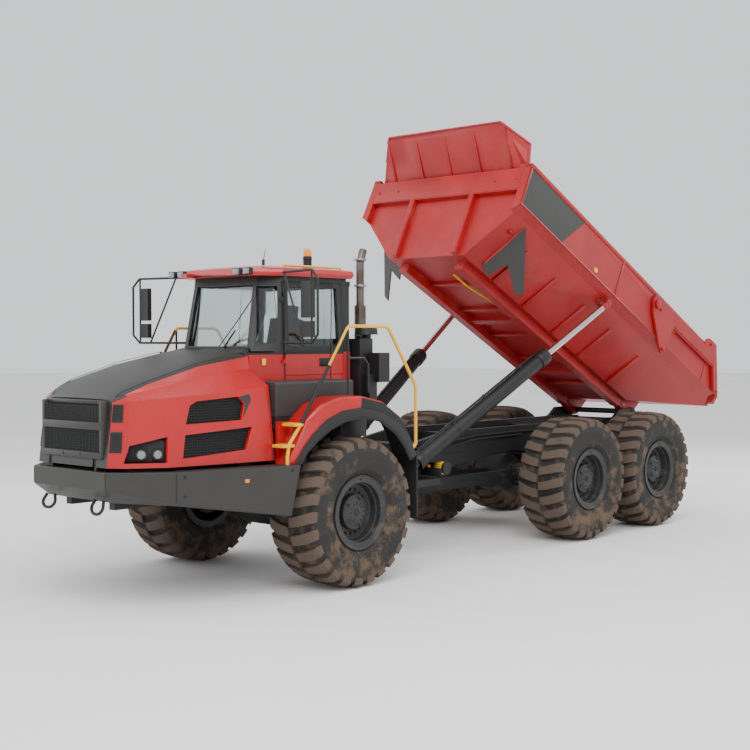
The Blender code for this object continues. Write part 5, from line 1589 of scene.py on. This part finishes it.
# --------------------------------------------------- fenders, boxes and ladder
@dataclass
class Deck:
    """Fenders, side boxes, the ladder and handrail, and the exhaust."""

    machine: Machine
    kept: dict[str, Finish] = field(default_factory=dict)

    def build(self) -> None:
        """Soften the deck's own parts and add the small metalwork on them."""
        machine = self.machine
        for node in sorted(machine.nodes):
            if node.startswith("front_fender"):
                self.fender(node)
            elif node.startswith("side_box"):
                machine.soften(node, GREY, 0.010)
            elif node.startswith(("rear_guard", "mud_guard", "rear_mudguard", "hoist_guard")):
                machine.soften(node, PLASTIC, 0.006)
        self.rails()
        self.stacks()

    def fender(self, node: str) -> None:
        """The red fender with a rubber lip along its outer edge."""
        self.machine.soften(node, [RED, SEAL], 0.008, self.fender_slot)

    @staticmethod
    def fender_slot(at: Vector, out: Vector) -> int:
        """Rubber for the lip, the lining and the flap, red for the rest.

        Args:
            at: A face's middle.
            out: Its normal.

        Returns:
            The material slot.
        """
        arm = Vector((0.0, at.y + 0.100, at.z - 0.920))
        forward = math.degrees(math.atan2(-arm.y, arm.z))
        edge = 1.222 - (0.0030 * forward + 0.00003 * forward**2 if forward > 0 else 0.0013 * forward)
        lining = out.dot(arm.normalized()) < -0.35
        flap = at.y > 0.99 and at.z < 1.60
        return int(flap or (abs(at.x) > 1.40 and (arm.length < edge or lining)) or lining)

    def rails(self) -> None:
        """The handrails, yellow with black parts, and toe grips on the treads."""
        machine = self.machine
        for node in ("ladder_handrail_left", "handrail_right"):
            machine.soften(node, [YELLOW, CLEAN_BLACK], 0.003, self.rail_slot)
        grip = Form()
        for x0, x1, y0, y1, z in ((1.335, 1.515, -1.080, -0.900, 1.745), (1.370, 1.570, -0.960, -0.812, 1.985)):
            for i in range(7):
                x = x0 + 0.014 + (x1 - x0 - 0.028) * i / 6
                grip.box((x - 0.006, y0 + 0.01, z), (x + 0.006, y1 - 0.01, z + 0.004), 0.001)
        machine.place(grip, "tread_grips", "tractor", [YELLOW], move=machine.stations())

    @staticmethod
    def rail_slot(at: Vector, out: Vector) -> int:
        """Black for the inner rail and the stile between the treads and the loop.

        Args:
            at: A face's middle.
            out: Its normal, not used.

        Returns:
            The material slot.
        """
        inner = -0.130 < at.y < 0.260 and at.z < 3.065
        stile = at.y < -0.380 and 2.020 < at.z < 2.620
        return int(inner or stile)

    def stacks(self) -> None:
        """Clamps on the exhaust."""
        machine = self.machine
        clamp = Form()
        for z in (2.98, 3.62, 3.96):
            clamp.bar((0.62, 1.14, z), (0.62, 1.14, z + 0.028), 0.082, sides=40, bevel=0.003)
        machine.place(clamp, "exhaust_clamps", "tractor", [ZINC], move=machine.stations())


# ---------------------------------------------------------------------- stage
@dataclass
class Studio:
    """The pale floor, the soft lights and the camera."""

    machine: Machine
    eye: tuple[float, float, float] = (12.062, -10.988, 2.930)
    turn_deg: tuple[float, float, float] = (42.676, 88.442, -0.138)
    lens_mm: float = 61.58
    sensor_mm: float = 36.0

    def build(self) -> None:
        """Lay the floor, hang the lights and set the camera."""
        self.floor()
        self.sky()
        self.lights()
        self.camera()

    def floor(self) -> None:
        """A matt pale floor, a little uneven in tone."""
        form = Form()
        bmesh.ops.create_grid(form.bm, x_segments=8, y_segments=8, size=90.0)
        ground = bpy.data.objects.new("floor", form.mesh("floor"))
        bpy.context.scene.collection.objects.link(ground)
        ground.data.materials.append(FLOOR.material())
        ground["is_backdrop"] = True

    @staticmethod
    def sky() -> None:
        """Even, near-white light from all round."""
        world = bpy.data.worlds.new("studio")
        world.use_nodes = True
        world.node_tree.nodes.clear()
        back = add(world.node_tree, "ShaderNodeBackground", {"Color": linear("F4F6F9"), "Strength": 1.15})
        add(world.node_tree, "ShaderNodeOutputWorld", {"Surface": back.outputs[0]})
        bpy.context.scene.world = world

    @staticmethod
    def lights() -> None:
        """A large soft key from the camera's side, a fill and a light from behind."""
        aim = Vector((0.0, 0.5, 1.5))
        for name, place, size, power in (
            ("key", (9.0, -9.0, 13.0), 12.0, 2300.0),
            ("fill", (-12.0, -9.0, 8.0), 14.0, 900.0),
            ("back", (3.0, 14.0, 11.0), 10.0, 1300.0),
        ):
            lamp = bpy.data.lights.new(name, "AREA")
            lamp.shape, lamp.size, lamp.energy = "SQUARE", size, power
            holder = bpy.data.objects.new(name, lamp)
            holder.location = place
            holder.rotation_euler = (aim - Vector(place)).to_track_quat("-Z", "Y").to_euler()
            bpy.context.scene.collection.objects.link(holder)
            holder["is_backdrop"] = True

    def camera(self) -> None:
        """Look at the machine's left front corner from a man's height."""
        lens = bpy.data.cameras.new("camera")
        lens.lens, lens.sensor_width = self.lens_mm, self.sensor_mm
        lens.clip_end = 400.0
        eye = bpy.data.objects.new("camera", lens)
        x, y, z = self.eye
        about, up, roll = (math.radians(a) for a in self.turn_deg)
        turn = Matrix.Rotation(about, 4, "Z") @ Matrix.Rotation(up, 4, "X") @ Matrix.Rotation(roll, 4, "Z")
        eye.matrix_world = Matrix.Translation((x, y + self.machine.axle, z)) @ turn
        bpy.context.scene.collection.objects.link(eye)
        bpy.context.scene.camera = eye


def dress_rest(machine: Machine) -> None:
    """Give every CAD node that no piece stands for its own finish."""
    finishes = {
        "seat_fabric": CLOTH,
        "red_paint": RED,
        "dark_grey_paint": GREY,
        "black_paint": BLACK,
        "tyre_rubber": RUBBER,
        "rim_grey": RIM,
        "glass": GLASS,
        "yellow_paint": YELLOW,
        "black_plastic": PLASTIC,
        "chrome": CHROME,
        "exhaust_steel": EXHAUST,
        "cast_grey": CAST,
    }
    for node, thing in sorted(machine.nodes.items()):
        if node not in machine.replaced and node != "cab_glazing":
            slot = thing.data.materials[0].name.split(".")[0]
            machine.dress(node, finishes[slot])


FLOOR = Finish("studio_floor_paint", Slot.BLACK, "F1F0EE", 0.85, shade=0.02, soil=0.0, patch_mm=4000, bump_mm=0.0)


def main() -> None:
    """Build every assembly, dress the rest and measure what is drawn."""
    logging.basicConfig(level=logging.INFO, format="%(name)s: %(message)s")
    machine = Machine()
    for assembly in (Wheels(machine), DumpBody(machine), Chassis(machine), Nose(machine), Cab(machine), Deck(machine), Studio(machine)):
        assembly.build()
        LOG.info("%s built", type(assembly).__name__)
    dress_rest(machine)
    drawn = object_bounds()
    {"cad": [list(p) for p in machine.cad_box], "drawn": [list(p) for p in drawn]}


if __name__ == "__main__":
    main()
